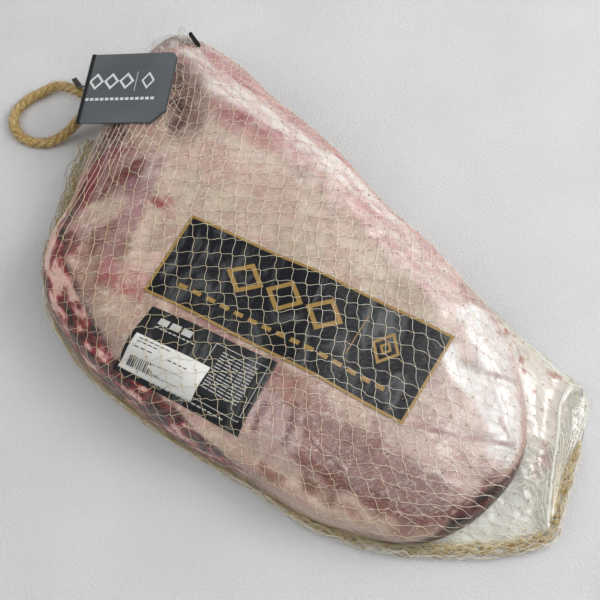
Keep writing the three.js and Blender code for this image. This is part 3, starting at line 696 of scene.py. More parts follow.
class BRISKET_OT_stage(Operator):
    """Camera at the photograph's angle, a pale matt floor and soft studio light"""
    bl_idname = "brisket.stage"
    bl_label = "Stage"

    def execute(self, context):
        settings = context.scene.brisket_stage
        scene = context.scene
        back = np.array([
            np.sin(CAMERA_AZIMUTH) * np.cos(CAMERA_ELEVATION),
            -np.cos(CAMERA_AZIMUTH) * np.cos(CAMERA_ELEVATION),
            np.sin(CAMERA_ELEVATION)])
        data = bpy.data.cameras.new("photo_camera")
        data.lens = CAMERA_LENS
        data.sensor_width = 36.0
        data.clip_start = 0.05
        camera = bpy.data.objects.new("photo_camera", data)
        camera.location = to_row(CAMERA_TARGET + back * CAMERA_DISTANCE)
        camera.rotation_euler = Vector(-back).to_track_quat("-Z", "Y").to_euler()
        scene.collection.objects.link(camera)
        scene.camera = camera

        mesh = bpy.data.meshes.new("floor")
        corners = [(-FLOOR_HALF, -FLOOR_HALF, 0), (FLOOR_HALF, -FLOOR_HALF, 0),
                   (FLOOR_HALF, FLOOR_HALF, 0), (-FLOOR_HALF, FLOOR_HALF, 0)]
        mesh.from_pydata(corners, [], [(0, 1, 2, 3)])
        mesh.materials.append(floor_paper("Pale matt paper floor", (*settings.floor[:3], 1.0)))
        floor = bpy.data.objects.new("floor", mesh)
        floor.location.z = -0.0002
        scene.collection.objects.link(floor)

        # light from the far right, a lower one behind for the sheen along the far ridge, a wide one above,
        # and a low fill that puts no gloss on the near side
        lights = [
            ("key", (0.95, 1.2, 1.4), 1.1, settings.light_power * 0.8, (1.0, 0.99, 0.98), True),
            ("back", (0.35, 1.6, 1.05), 1.3, settings.light_power * 0.5, (1.0, 1.0, 1.0), True),
            ("top", (0.85, 0.35, 2.2), 1.8, settings.light_power * 0.75, (1.0, 1.0, 1.0), True),
            ("fill", (-0.9, -1.2, 1.5), 1.6, settings.light_power * 0.72, (0.98, 0.99, 1.0), False),
        ]
        for name, location, size, power, colour, reflects in lights:
            light = bpy.data.lights.new(name, "AREA")
            light.shape = "DISK"
            light.size = size
            light.energy = power
            light.color = colour
            lamp = bpy.data.objects.new(name, light)
            lamp.location = location
            lamp.visible_glossy = reflects
            lamp.rotation_euler = Vector(location).to_track_quat("Z", "Y").to_euler()
            scene.collection.objects.link(lamp)
        world = bpy.data.worlds.new("studio")
        world.use_nodes = True
        world.node_tree.nodes["Background"].inputs["Color"].default_value = srgb("#E8EAEC")
        world.node_tree.nodes["Background"].inputs["Strength"].default_value = 0.3
        scene.world = world
        scene.view_settings.view_transform = "Standard"
        return {"FINISHED"}


# hex colour, lean share, strength, half width in mm, path in the drawing frame, over the top of the meat
MEAT_STROKES = [
    ("#B8AC9B", 0, 0.85, 42, [(-130, 28), (-80, 46), (0, 64), (70, 66)]),
    ("#C8BCAE", 0, 0.8, 26, [(-98, 62), (-41, 78), (21, 84)]),
    ("#C6B7AB", 0, 0.8, 24, [(-172, 58), (-130, 66), (-97, 70)]),
    ("#B09C8D", 0, 0.8, 17, [(-125, -98), (-100, -92), (-70, -90)]),
    ("#CAB0A0", 0, 0.7, 10, [(-171, -82), (-148, -90), (-130, -96)]),
    ("#AFA197", 0, 0.85, 30, [(85, 36), (122, 30), (150, 14)]),
    ("#B99C92", 0, 0.6, 17, [(-152, 34), (-113, 50), (-65, 60)]),
    ("#7C564F", 0.1, 0.85, 38, [(90, -66), (125, -50), (165, -32), (200, -10)]),
    ("#8A645E", 0.3, 0.7, 14, [(-30, -60), (20, -56), (70, -44)]),
    ("#B7A5A2", 0, 0.9, 20, [(28, -76), (52, -74), (74, -78)]),
    ("#74504A", 0.3, 0.8, 18, [(92, -62), (112, -50), (140, -34)]),
    ("#6A433D", 0.3, 0.8, 22, [(120, -62), (160, -42), (196, -22)]),
    ("#6C4943", 0.2, 0.85, 24, [(176, -36), (196, -12), (206, 10)]),
    ("#B5A396", 0.1, 0.8, 20, [(126, -8), (160, 6), (180, 10)]),
    ("#CDB6A8", 0, 0.85, 13, [(90, -96), (130, -86), (165, -72)]),
    ("#C9B1A5", 0, 0.8, 12, [(-10, -106), (40, -96), (90, -88)]),
    # whiter fat along the far ridge, partly a painted highlight where the ridge faces the light
    ("#D6C4C0", 0, 0.85, 24, [(-226, 108), (-180, 106), (-116, 110), (-58, 114), (-10, 110), (50, 106)]),
    ("#E8DEDA", 0, 0.9, 12, [(-228, 110), (-180, 107), (-116, 112), (-58, 118), (-10, 116), (20, 113)]),
    ("#CFC2BB", 0, 0.9, 20, [(12, 112), (50, 108), (100, 92), (140, 66), (176, 42)]),
    ("#EEE9E4", 0, 0.95, 17, [(106, 100), (124, 94), (150, 80), (178, 60), (190, 42)]),
    ("#F3EEEA", 0, 0.9, 9, [(112, 62), (150, 56), (178, 48)]),
    # painted shade: brown and darker strokes in the dip beside the tag, darkest by the tag's edge where its
    # shadow falls
    ("#7C625A", 0.2, 0.85, 15, [(-226, 94), (-205, 84), (-184, 72), (-174, 48)]),
    ("#4F3A38", 0.3, 0.8, 9, [(-214, 76), (-198, 64), (-184, 52)]),
    ("#B9868A", 0.2, 0.8, 6, [(-220, 121), (-204, 122), (-185, 121)]),
    ("#8C3C46", 0.6, 0.8, 8, [(-157, 88), (-141, 91), (-126, 96), (-114, 101)]),
    ("#AE7A7C", 0.3, 0.6, 9, [(-170, 84), (-140, 82), (-112, 90)]),
    ("#9E5058", 0.5, 0.7, 3, [(-196, 117), (-176, 118), (-158, 122)]),
    ("#A8646A", 0.4, 0.6, 2.6, [(-120, 124), (-96, 127), (-70, 129)]),
    ("#C48E90", 0.2, 0.8, 4, [(-180, 126), (-115, 131), (-58, 131), (20, 126), (60, 124)]),
    ("#B58078", 0.2, 0.6, 4, [(-26, 105), (-18, 108), (-9, 110)]),
    ("#70403F", 0.2, 0.85, 23, [(-214, -2), (-196, -28), (-176, -14)]),
    ("#A8807E", 0.1, 0.6, 16, [(-188, -60), (-160, -78), (-150, -60)]),
    ("#8A6870", 0.3, 0.7, 12, [(-167, 12), (-155, -14), (-143, -40)]),
    ("#6E5042", 0.3, 0.8, 16, [(-142, -56), (-132, -74), (-126, -92)]),
    ("#A07A7E", 0.2, 0.5, 9, [(-149, -20), (-137, -50), (-122, -80)]),
    ("#561F2B", 0.6, 0.95, 15, [(-214, -8), (-214, 6), (-214, 19)]),
    ("#6A2836", 0.6, 0.95, 13, [(-196, -39), (-189, -20), (-176, -3)]),
    ("#7B3044", 0.6, 0.9, 10, [(-190, -54), (-190, -40), (-188, -27)]),
    ("#803645", 0.5, 0.9, 10, [(-204, -30), (-200, -14), (-190, 2)]),
    ("#93404C", 0.8, 0.85, 3.5, [(-138, -11), (-128, -10), (-118, -12)]),
    ("#A0525A", 0.7, 0.6, 3, [(-132, -4), (-124, -4), (-116, -6)]),
    ("#6C2735", 0.6, 0.9, 9, [(-186, -70), (-172, -78), (-158, -84)]),
    ("#9A4F57", 0.6, 0.8, 7, [(-117, -84), (-102, -81), (-88, -77)]),
    ("#B27C7A", 0.3, 0.6, 10, [(-122, -74), (-104, -70), (-90, -68)]),
    ("#6E4A52", 0, 0.8, 3, [(44, -69), (47, -77), (51, -86)]),
    ("#684650", 0, 0.85, 3, [(62, -52), (69, -65), (76, -79)]),
    ("#7E5860", 0, 0.6, 3, [(24, -72), (28, -80), (31, -87)]),
    ("#7F5547", 0.3, 0.75, 5, [(107, -86), (117, -86), (126, -83)]),
    ("#8A5E50", 0.3, 0.7, 4, [(72, -100), (81, -100), (89, -98)]),
    ("#96614F", 0.3, 0.7, 4, [(140, -76), (147, -76), (153, -76)]),
    ("#8F6A60", 0.2, 0.75, 3, [(143, 75), (153, 82), (160, 90)]),
    ("#925E5A", 0.3, 0.9, 2.4, [(132, 2), (149, 14), (173, 31), (193, 48)]),
    ("#8E5F58", 0.4, 0.8, 3, [(175, 54), (183, 52), (191, 50)]),
    ("#A4666A", 0.4, 0.5, 3, [(180, 17), (190, 22), (196, 32)]),
    ("#A45F5C", 0.4, 0.7, 4, [(170, 82), (182, 75), (195, 57)]),
]


# light that the film's gloss adds, and the share that film and net let through twice
FILM_VEIL = 0.03
FILM_PASS = 0.8


def under_film(colour):
    """Colour that the bare meat needs to look like a given one through the film and net."""
    return np.clip((np.asarray(colour)[:3] - FILM_VEIL) / FILM_PASS, 0.015, 0.93)


def blend(colour, text, mask, seen=np.array):
    """Moves colours towards a hex colour by a mask."""
    return colour + (seen(srgb(text)[:3]) - colour) * mask[..., None]


def paint_meat(x, y, z, angle, share, settings):
    """Colour and lean share of the meat: cream fat mottled with pink, ragged strokes of lean and bright fat
    over the top, crimson and white stripes under the cap's fold on the near side, and a dark rim of lean
    round the thin end."""
    colour = np.tile(under_film(settings.fat), (len(x), 1))
    lean = np.zeros(len(x))
    pink = 0.6 * smooth_step(0.46, 0.64, fractal(x / 40, y / 32, 31, 6))
    pale = 0.6 * smooth_step(0.52, 0.62, fractal(x / 22, y / 30, 33, 6))
    colour = blend(colour, "#A08079", pink, under_film)
    colour = blend(colour, "#D2BFB2", pale, under_film)
    for text, red, strength, width, path in MEAT_STROKES:
        ragged = 1.5 * (fractal(x / 17, y / 13, 40 + width, 5) - 0.5)
        ragged = ragged + 0.5 * (fractal(x / 3.7, y / 6, 44, 3) - 0.5)
        edge = distance_to_path(x, y, path) / width + ragged
        mask = strength * (1 - smooth_step(0.45, 1.2, edge)) * (share < 1.05)
        if red > 0.1:
            broken = 0.3 + 0.5 * min(red, 0.8)
            mask = mask * (1 - broken + broken * smooth_step(0.42, 0.54, fractal(x / 8, y / 14, 45, 5)))
        colour = blend(colour, text, mask, under_film)
        lean = lean + (red - lean) * mask
    # uneven tone and rosy flecks a few millimetres across
    soft = (1 - 0.7 * smooth_step(0.65, 0.88, colour[:, 1]))[:, None]
    colour = colour * (1 + 0.42 * (fractal(x / 6, y / 9, 35, 4) - 0.5)[:, None] * soft)
    rosy = smooth_step(0.5, 0.64, fractal(x / 8, y / 6, 36, 4))[:, None] * soft
    colour = np.clip(colour * (1 - rosy * [0.05, 0.14, 0.12]), 0, 0.95)
    # thin pink streaks along the bright ridge
    ridge = smooth_step(84, 98, y) * (1 - smooth_step(60, 120, x))
    streaks = smooth_step(0.5, 0.6, fractal(x / 15, y / 3.2 + x / 40, 60, 5))
    colour = blend(colour, "#BE8F92", 0.5 * ridge * streaks, under_film)
    degrees = np.degrees(angle)
    run = 4.5 * ((angle - 0.3) % (2 * np.pi))
    # near side under the cap's fold
    striped = smooth_step(-178, -160, degrees) * (1 - smooth_step(-60, -38, degrees))
    edge = through_knots(degrees, [-178, -156, -148, -138, -130, -121, -112, -104, -94, -83, -73, -60, -40],
                         [0.86, 0.84, 0.8, 0.775, 0.775, 0.79, 0.805, 0.81, 0.815, 0.835, 0.87, 0.92, 1.0])
    edge = edge + 0.03 * (fractal(run * 2, share * 3, 51) - 0.5)
    low = smooth_step(-0.004, 0.012, share - edge)
    # marbled lean: lumps along the edge, broken by finer ones
    stripe = 0.6 * fractal(run * 1.5, share * 21, 52, 4) + 0.4 * fractal(run * 4.5, share * 40, 56, 3)
    stripe = stripe - 0.055 * smooth_step(-122, -108, degrees)
    side = np.tile(under_film(settings.lean), (len(x), 1))
    side = blend(side, "#2F1013", 1 - smooth_step(0.36, 0.42, stripe), under_film)
    side = blend(side, "#802F3C", smooth_step(0.45, 0.49, stripe), under_film)
    side = blend(side, "#A87274", smooth_step(0.5, 0.54, stripe), under_film)
    side = blend(side, "#CDB3A9", smooth_step(0.55, 0.6, stripe), under_film)
    # these sides lie in shade, and so start brighter
    side = side * [1.25, 1.12, 1.12]
    mask = striped * low
    # painted shade: a dark line along the crease under the cap's fold, broken in places by noise
    fold = striped * np.exp(-((share - edge) / 0.011) ** 2)
    fold = fold * smooth_step(0.3, 0.5, noise(run * 4, share * 4, 53))
    colour = colour + (side - colour) * mask[:, None]
    lean = lean + (0.9 - smooth_step(0.45, 0.6, stripe) * 0.8 - lean) * mask
    colour = blend(colour, "#431A20", 0.8 * fold, under_film)
    # pale, lightly marked side beyond the stripes, and the other sides
    pale = smooth_step(0.86, 0.97, share + 0.06 * (fractal(run * 2, share * 5, 54) - 0.5)) * (1 - striped)
    streak = fractal(run * 1.6, share * 14, 55, 3)
    far = smooth_step(16, 30, degrees) * (1 - smooth_step(150, 172, degrees))
    colour = blend(colour, "#C3AD9E", 0.75 * pale * (1 - far), under_film)
    colour = blend(colour, "#DED2CB", 0.8 * pale * far, under_film)
    colour = blend(colour, "#8E5F56", (0.6 - 0.35 * far) * pale * smooth_step(0.52, 0.64, streak), under_film)
    lean = lean + 0.3 * pale * smooth_step(0.52, 0.64, streak)
    # dark lean rim round the thin end, widest where the side faces the camera
    start = through_knots(degrees, [-22, -16, -10, -5, 0, 4, 8, 12, 16, 20],
                          [1.03, 0.98, 0.925, 0.885, 0.875, 0.89, 0.92, 0.94, 0.962, 1.0])
    rim = smooth_step(-25, -19, degrees) * (1 - smooth_step(16, 22, degrees))
    rim = rim * smooth_step(-0.012, 0.012, share - start + 0.03 * (fractal(degrees / 7, share * 8, 57) - 0.5))
    dark = blend(np.tile(under_film(srgb("#33070D")), (len(x), 1)), "#5A1A24",
                 smooth_step(0.5, 0.7, fractal(degrees / 5, share * 26, 58, 3)), under_film)
    colour = colour + (dark - colour) * rim[:, None]
    lean = lean + (1 - lean) * rim
    return colour, lean


def body_shell(n, grow):
    """The dome on square rows mapped to a disc, the rounded side below the rim, and a flat underside.
    Returns points, faces, and each point's angle and share: 0 at the middle, 1 at the rim, 2 at the floor."""
    s, t = np.meshgrid(np.linspace(-1, 1, n + 1), np.linspace(-1, 1, n + 1), indexing="ij")
    x, y = s * np.sqrt(1 - t * t / 2), t * np.sqrt(1 - s * s / 2)
    angle, share = np.arctan2(y, x).ravel(), np.minimum(1, np.hypot(x, y)).ravel()
    out, up = np.interp(share, PROFILE_LENGTH, PROFILE_OUT), np.interp(share, PROFILE_LENGTH, PROFILE_UP)
    top = np.stack(top_surface(angle, out, up, grow), -1)
    k = np.arange(n)
    loop = np.concatenate([k * (n + 1), n * (n + 1) + k, (n - k) * (n + 1) + n, n - k])
    ring_angle = angle[loop]
    rim, radius = rim_height(ring_angle), outline_radius(ring_angle) + grow
    rows = 16
    turn = (np.arange(1, rows + 1) / rows * np.pi / 2)[:, None]
    cosine = np.append(np.cos(turn[:-1, 0]), 0)[:, None]
    inset = UNDER_INSET * (1 - cosine ** (2 / UNDER_POWER))
    z = rim * (1 - np.sin(turn) ** (2 / UNDER_POWER))
    uneven = 0.9 * (fractal(ring_angle * 14, turn * 3 + 0 * ring_angle, 12) - 0.5) * np.sin(2 * turn)
    x, y = around(ring_angle, radius - inset + uneven)
    sides = np.stack([x, y, z], -1).reshape(-1, 3)
    shrink = np.array([0.9, 0.72, 0.5, 0.28, 0.1])[:, None]
    x, y = around(ring_angle, (radius - UNDER_INSET) * shrink)
    under = np.stack([x, y, 0 * x], -1).reshape(-1, 3)
    middle = np.array([[CENTRE[0], CENTRE[1], 0.0]])
    faces = grid_faces(n + 1, n + 1).tolist()
    rings = [loop] + [(n + 1) ** 2 + np.arange(4 * n) + row * 4 * n for row in range(rows + len(shrink))]
    for upper, lower in zip(rings[:-1], rings[1:]):
        faces += np.stack([upper, lower, np.roll(lower, -1), np.roll(upper, -1)], -1).tolist()
    hub = (n + 1) ** 2 + (rows + len(shrink)) * 4 * n
    faces += [[a, hub, b] for a, b in zip(rings[-1].tolist(), np.roll(rings[-1], -1).tolist())]
    points = np.concatenate([top, sides, under, middle])
    all_angle = np.concatenate([angle, np.tile(ring_angle, rows + len(shrink)), [0.0]])
    down = np.repeat(1 + np.arange(1, rows + 1) / rows, 4 * n)
    bottom = np.full(len(shrink) * 4 * n + 1, 2.0)
    return points, faces, all_angle, np.concatenate([share, down, bottom])


class BRISKET_OT_meat(Operator):
    """The meat: one closed form with a fat cap, folds and striped sides"""
    bl_idname = "brisket.meat"
    bl_label = "Meat"

    def execute(self, context):
        settings = context.scene.brisket_meat
        points, faces, angle, share = body_shell(settings.rows, 0.0)
        colour, lean = paint_meat(*points.T, angle, share, settings)
        new_piece("meat", points, faces, raw_beef(), "filmed_beef", ["brisket_pack"],
                  values={"lean": lean}, colours=opaque(colour))
        return {"FINISHED"}


# creases of the tight film: half width in mm, height in mm, path
FILM_CREASES = [
    (2.2, 1.2, [(136, 72), (150, 80), (162, 91)]),
    (2.0, 1.3, [(172, 55), (183, 52), (193, 50)]),
    (2.4, 1.2, [(140, 10), (160, 22), (180, 36), (196, 52)]),
    (2.6, 1.3, [(128, 78), (150, 70), (176, 58), (192, 48)]),
    (2.0, 1.0, [(104, 96), (130, 88), (156, 80)]),
    (2.2, 1.1, [(-212, 4), (-190, -20), (-176, -48)]),
    (2.2, 1.0, [(-168, 16), (-150, -20), (-128, -76)]),
    (2.4, 1.0, [(-190, 104), (-130, 108), (-70, 112)]),
    (2.2, 0.9, [(-150, -96), (-128, -88), (-112, -72)]),
    (2.0, 0.9, [(60, -56), (92, -62), (118, -60)]),
    (2.0, 0.9, [(128, -30), (156, -18), (184, -8)]),
]


def film_wrinkles(x, y):
    """Height of the film's wrinkles: thin bell-shaped creases along paths, and sharp folded noise that runs
    mostly across the pack."""
    z = np.zeros_like(x)
    for width, height, path in FILM_CREASES:
        bend = 5 * (noise(x / 14, y / 14, width * 31) - 0.5)
        z = z + height * np.exp(-((distance_to_path(x + bend, y - bend, path)) / width) ** 2)
    turned, crossed = 0.94 * x - 0.34 * y, 0.34 * x + 0.94 * y
    sharp = (1 - np.abs(2 * fractal(turned / 11, crossed / 38, 65, 3) - 1)) ** 5
    return z + 0.5 * sharp * smooth_step(0.45, 0.7, noise(x / 50, y / 50, 66))


class BRISKET_OT_film(Operator):
    """Clear film drawn tight over the meat, a little outside it, with raised wrinkles"""
    bl_idname = "brisket.film"
    bl_label = "Tight film"

    def execute(self, context):
        points, faces, angle, share = body_shell(context.scene.brisket_meat.rows, FILM_LIFT)
        x, y, z = points.T
        wrinkle = film_wrinkles(x, y) * (1 - smooth_step(0.9, 1.0, share)) * (1 - on_sheet(x, y))
        points[:, 2] += wrinkle
        haze = smooth_step(0.56, 0.76, fractal(x / 16 + z / 20, y / 24 - z / 20, 61, 4))
        milky = smooth_step(80, 170, x) * smooth_step(-15, 50, y)
        haze = haze * (0.15 + 0.5 * milky) + 0.5 * milky + 0.35 * wrinkle
        degrees = np.degrees(angle)
        haze = haze * (1 - 0.95 * smooth_step(0.86, 0.89, share) * smooth_step(-26, -20, degrees) * (
            1 - smooth_step(12, 20, degrees)))
        film = thin_film("Clear vacuum film, shrunk tight", 0.3, 0.2, 24, 0.0006, 0.35)
        new_piece("tight_film", points, faces, film, "filmed_beef", values={"haze": haze},
                  colours=one_colour(len(points), "#F4F1EE"))
        return {"FINISHED"}


def on_sheet(x, y):
    """1 over the printed panel and the labels and 0 beyond 8 mm outside them."""
    return np.max([over(corners, x, y) for corners in (PRINTED_PANEL, INFO_LABEL, PRICE_STICKER)], axis=0)


def over(corners, x, y):
    """1 inside four corners, which run clockwise in plan, and 0 beyond 8 mm outside them."""
    outside = np.full(np.shape(x), -1e9)
    for a, b in zip(corners, np.roll(corners, -1, 0)):
        edge = (b - a) / np.linalg.norm(b - a)
        outside = np.maximum(outside, (y - a[1]) * edge[0] - (x - a[0]) * edge[1])
    return 1 - smooth_step(0, 8, outside)


def sheet_point(corners, u, v, lift):
    """A point of a sheet that lies on the meat: straight lines in plan between four corners, u from the left
    to the right and v from the far to the near edge, at the meat's height plus a lift."""
    far = corners[0] * (1 - u[..., None]) + corners[1] * u[..., None]
    near = corners[3] * (1 - u[..., None]) + corners[2] * u[..., None]
    plan = far * (1 - v[..., None]) + near * v[..., None]
    return np.stack([plan[..., 0], plan[..., 1], meat_height(plan[..., 0], plan[..., 1]) + lift], -1)


def sheet_size(corners):
    """Length along u and along v of a four-cornered sheet."""
    wide = 0.5 * (np.linalg.norm(corners[1] - corners[0]) + np.linalg.norm(corners[2] - corners[3]))
    high = 0.5 * (np.linalg.norm(corners[3] - corners[0]) + np.linalg.norm(corners[2] - corners[1]))
    return wide, high


def laid_sheet(corners, lift, rows, columns, thick=0.15):
    """A thin closed sheet on the meat, its upper and lower faces joined round the edge."""
    u, v = np.meshgrid(np.linspace(0, 1, columns), np.linspace(1, 0, rows), indexing="xy")
    upper = sheet_point(corners, u, v, lift).reshape(-1, 3)
    lower = sheet_point(corners, u, v, lift - thick).reshape(-1, 3)
    return close_sheet(upper, lower, rows, columns)


def close_sheet(upper, lower, rows, columns):
    """Joins two sheets of the same rows and columns into one closed slab."""
    top = grid_faces(rows, columns)[:, ::-1]
    start = rows * columns
    edge = np.concatenate([
        np.arange(columns - 1), np.arange(rows - 1) * columns + columns - 1,
        (rows - 1) * columns + np.arange(columns - 1, 0, -1), np.arange(rows - 1, 0, -1) * columns])
    after = np.roll(edge, -1)
    wall = np.stack([edge, edge + start, after + start, after], -1)
    faces = top.tolist() + (grid_faces(rows, columns) + start).tolist() + wall.tolist()
    return np.concatenate([upper, lower]), faces


def marks(point_at, boxes):
    """Flat printed shapes. Each is four corners in millimetres on the sheet, filled by a small grid whose
    points point_at puts on the sheet."""
    parts = []
    for corners in boxes:
        corners = np.asarray(corners, float)
        length = np.linalg.norm(corners[1] - corners[0])
        width = np.linalg.norm(corners[3] - corners[0])
        rows, columns = max(2, int(width / 4) + 1), max(2, int(length / 4) + 1)
        s, t = np.meshgrid(np.linspace(0, 1, columns), np.linspace(0, 1, rows), indexing="xy")
        s, t = s[..., None], t[..., None]
        flat = (corners[0] * (1 - s) + corners[1] * s) * (1 - t) + (corners[3] * (1 - s) + corners[2] * s) * t
        points = point_at(flat[..., 0], flat[..., 1]).reshape(-1, 3)
        parts.append((points, grid_faces(rows, columns).tolist()))
    return join(parts)


def bar(u0, v0, u1, v1):
    """Corners of an upright rectangle."""
    return [(u0, v0), (u1, v0), (u1, v1), (u0, v1)]


def outline_box(u0, v0, u1, v1, width):
    """Four bars round a rectangle."""
    return [bar(u0, v0, u1, v0 + width), bar(u0, v1 - width, u1, v1),
            bar(u0, v0 + width, u0 + width, v1 - width), bar(u1 - width, v0 + width, u1, v1 - width)]


def diamond_ring(u, v, half_u, half_v, width):
    """Four slanting strips that make a hollow diamond."""
    tips = np.array([(u - half_u, v), (u, v - half_v), (u + half_u, v), (u, v + half_v)], float)
    inner = np.array([u, v]) + (tips - [u, v]) * (1 - width / min(half_u, half_v))
    return [[tips[k], tips[(k + 1) % 4], inner[(k + 1) % 4], inner[k]] for k in range(4)]


def dashes(u0, v0, count, length, gap, height):
    """A row of short bars."""
    starts = u0 + (length + gap) * np.arange(count)
    return [bar(u, v0, u + length, v0 + height) for u in starts]


class BRISKET_OT_print(Operator):
    """The dark printed panel with its gold border and plain gold shapes, the label and the sticker"""
    bl_idname = "brisket.print"
    bl_label = "Panel and labels"

    def execute(self, context):
        black = printed_film("Black ink on glossy film", "#16171B", 0.24, 0.6)
        gold = plain_ink("Gold ink on film", "#96783F", 0.4)
        points, faces = laid_sheet(PRINTED_PANEL, PANEL_LIFT, 50, 130)
        new_piece("printed_panel", points, faces, black, "filmed_beef")
        wide, high = sheet_size(PRINTED_PANEL)

        def on_panel(u, v):
            return sheet_point(PRINTED_PANEL, u / wide, v / high, PANEL_LIFT + MARK_RISE)

        boxes = outline_box(0, 0, wide, high, 2.2)
        for k in range(3):
            boxes += diamond_ring(63 + 34 * k, 0.40 * high, 16, 15, 5.0)
        boxes += dashes(22, 0.76 * high, 15, 7.5, 4.6, 3.6)
        boxes += [bar(160, 0.2 * high, 160.8, 0.66 * high)]
        boxes += diamond_ring(184, 0.42 * high, 12, 14, 3) + diamond_ring(184, 0.42 * high, 5, 6, 2.4)
        new_piece("panel_gold_print", *marks(on_panel, boxes), gold, "filmed_beef")

        label = printed_film("Black satin film label", "#202123", 0.34, 0.6)
        points, faces = laid_sheet(INFO_LABEL, INFO_LIFT, 36, 60, 0.25)
        new_piece("info_label_face", points, faces, label, "dark_label", ["info_label"])
        wide, high = sheet_size(INFO_LABEL)

        def on_label(u, v):
            return sheet_point(INFO_LABEL, u / wide, v / high, INFO_LIFT + MARK_RISE)

        grey = plain_ink("Grey ink on a label", "#BDBDBA", 0.5)
        boxes = outline_box(60, 6, wide - 4, high - 7, 0.5)
        boxes += dashes(12, 6.5, 3, 8.2, 2.0, 5.6) + dashes(12, 14.5, 9, 2.8, 1.1, 1.0)
        for k in range(13):
            boxes += dashes(68, 10 + 2.5 * k, 5, 5.2, 1.0, 0.7)
        boxes += outline_box(60, high - 20, 66, high - 14, 0.8)
        boxes += dashes(30, high - 4.6, 14, 3.5, 1.1, 0.9)
        new_piece("info_label_print", *marks(on_label, boxes), grey, "dark_label")

        paper = coated_card("White sticker paper", "#D6D5D1", 0.6)
        points, faces = laid_sheet(PRICE_STICKER, STICKER_LIFT, 22, 40, 0.25)
        new_piece("price_sticker_face", points, faces, paper, "white_paper", ["price_sticker"])
        wide, high = sheet_size(PRICE_STICKER)

        def on_sticker(u, v):
            return sheet_point(PRICE_STICKER, u / wide, v / high, STICKER_LIFT + MARK_RISE)

        widths = 0.45 + 0.9 * noise(np.arange(27) * 3.7, np.zeros(27), 71)
        starts = 5 + np.arange(27) * 1.75
        boxes = [bar(a, high - 10.5, a + w, high - 3.5) for a, w in zip(starts, widths)]
        boxes += dashes(4, 2.4, 6, 3.6, 1.1, 0.8) + dashes(4, 5.0, 4, 3.6, 1.1, 0.8)
        boxes += dashes(4, 9.2, 3, 4.2, 1.6, 0.8) + dashes(34, 9.2, 4, 3.0, 1.4, 0.8)
        ink = plain_ink("Thermal print on paper", "#4A4A4C", 0.7)
        new_piece("price_sticker_print", *marks(on_sticker, boxes), ink, "white_paper")
        return {"FINISHED"}


# the raised roll's place as seen from the meat's centre
ROLL_DEGREES = [4.6, 7.7, 12.1, 18.9, 25.3, 31.6]
ROLL_RADIUS = [276, 267, 251, 242, 239, 243]
# the white line of the rolled edge, from its open side over the top and down to the tied corner
ROLL_LINE = [(226, 98), (217, 113), (207, 128), (199, 133), (192, 131), (189, 122), (194, 106), (206, 89),
             (224, 62), (246, 31), (256, 22)]


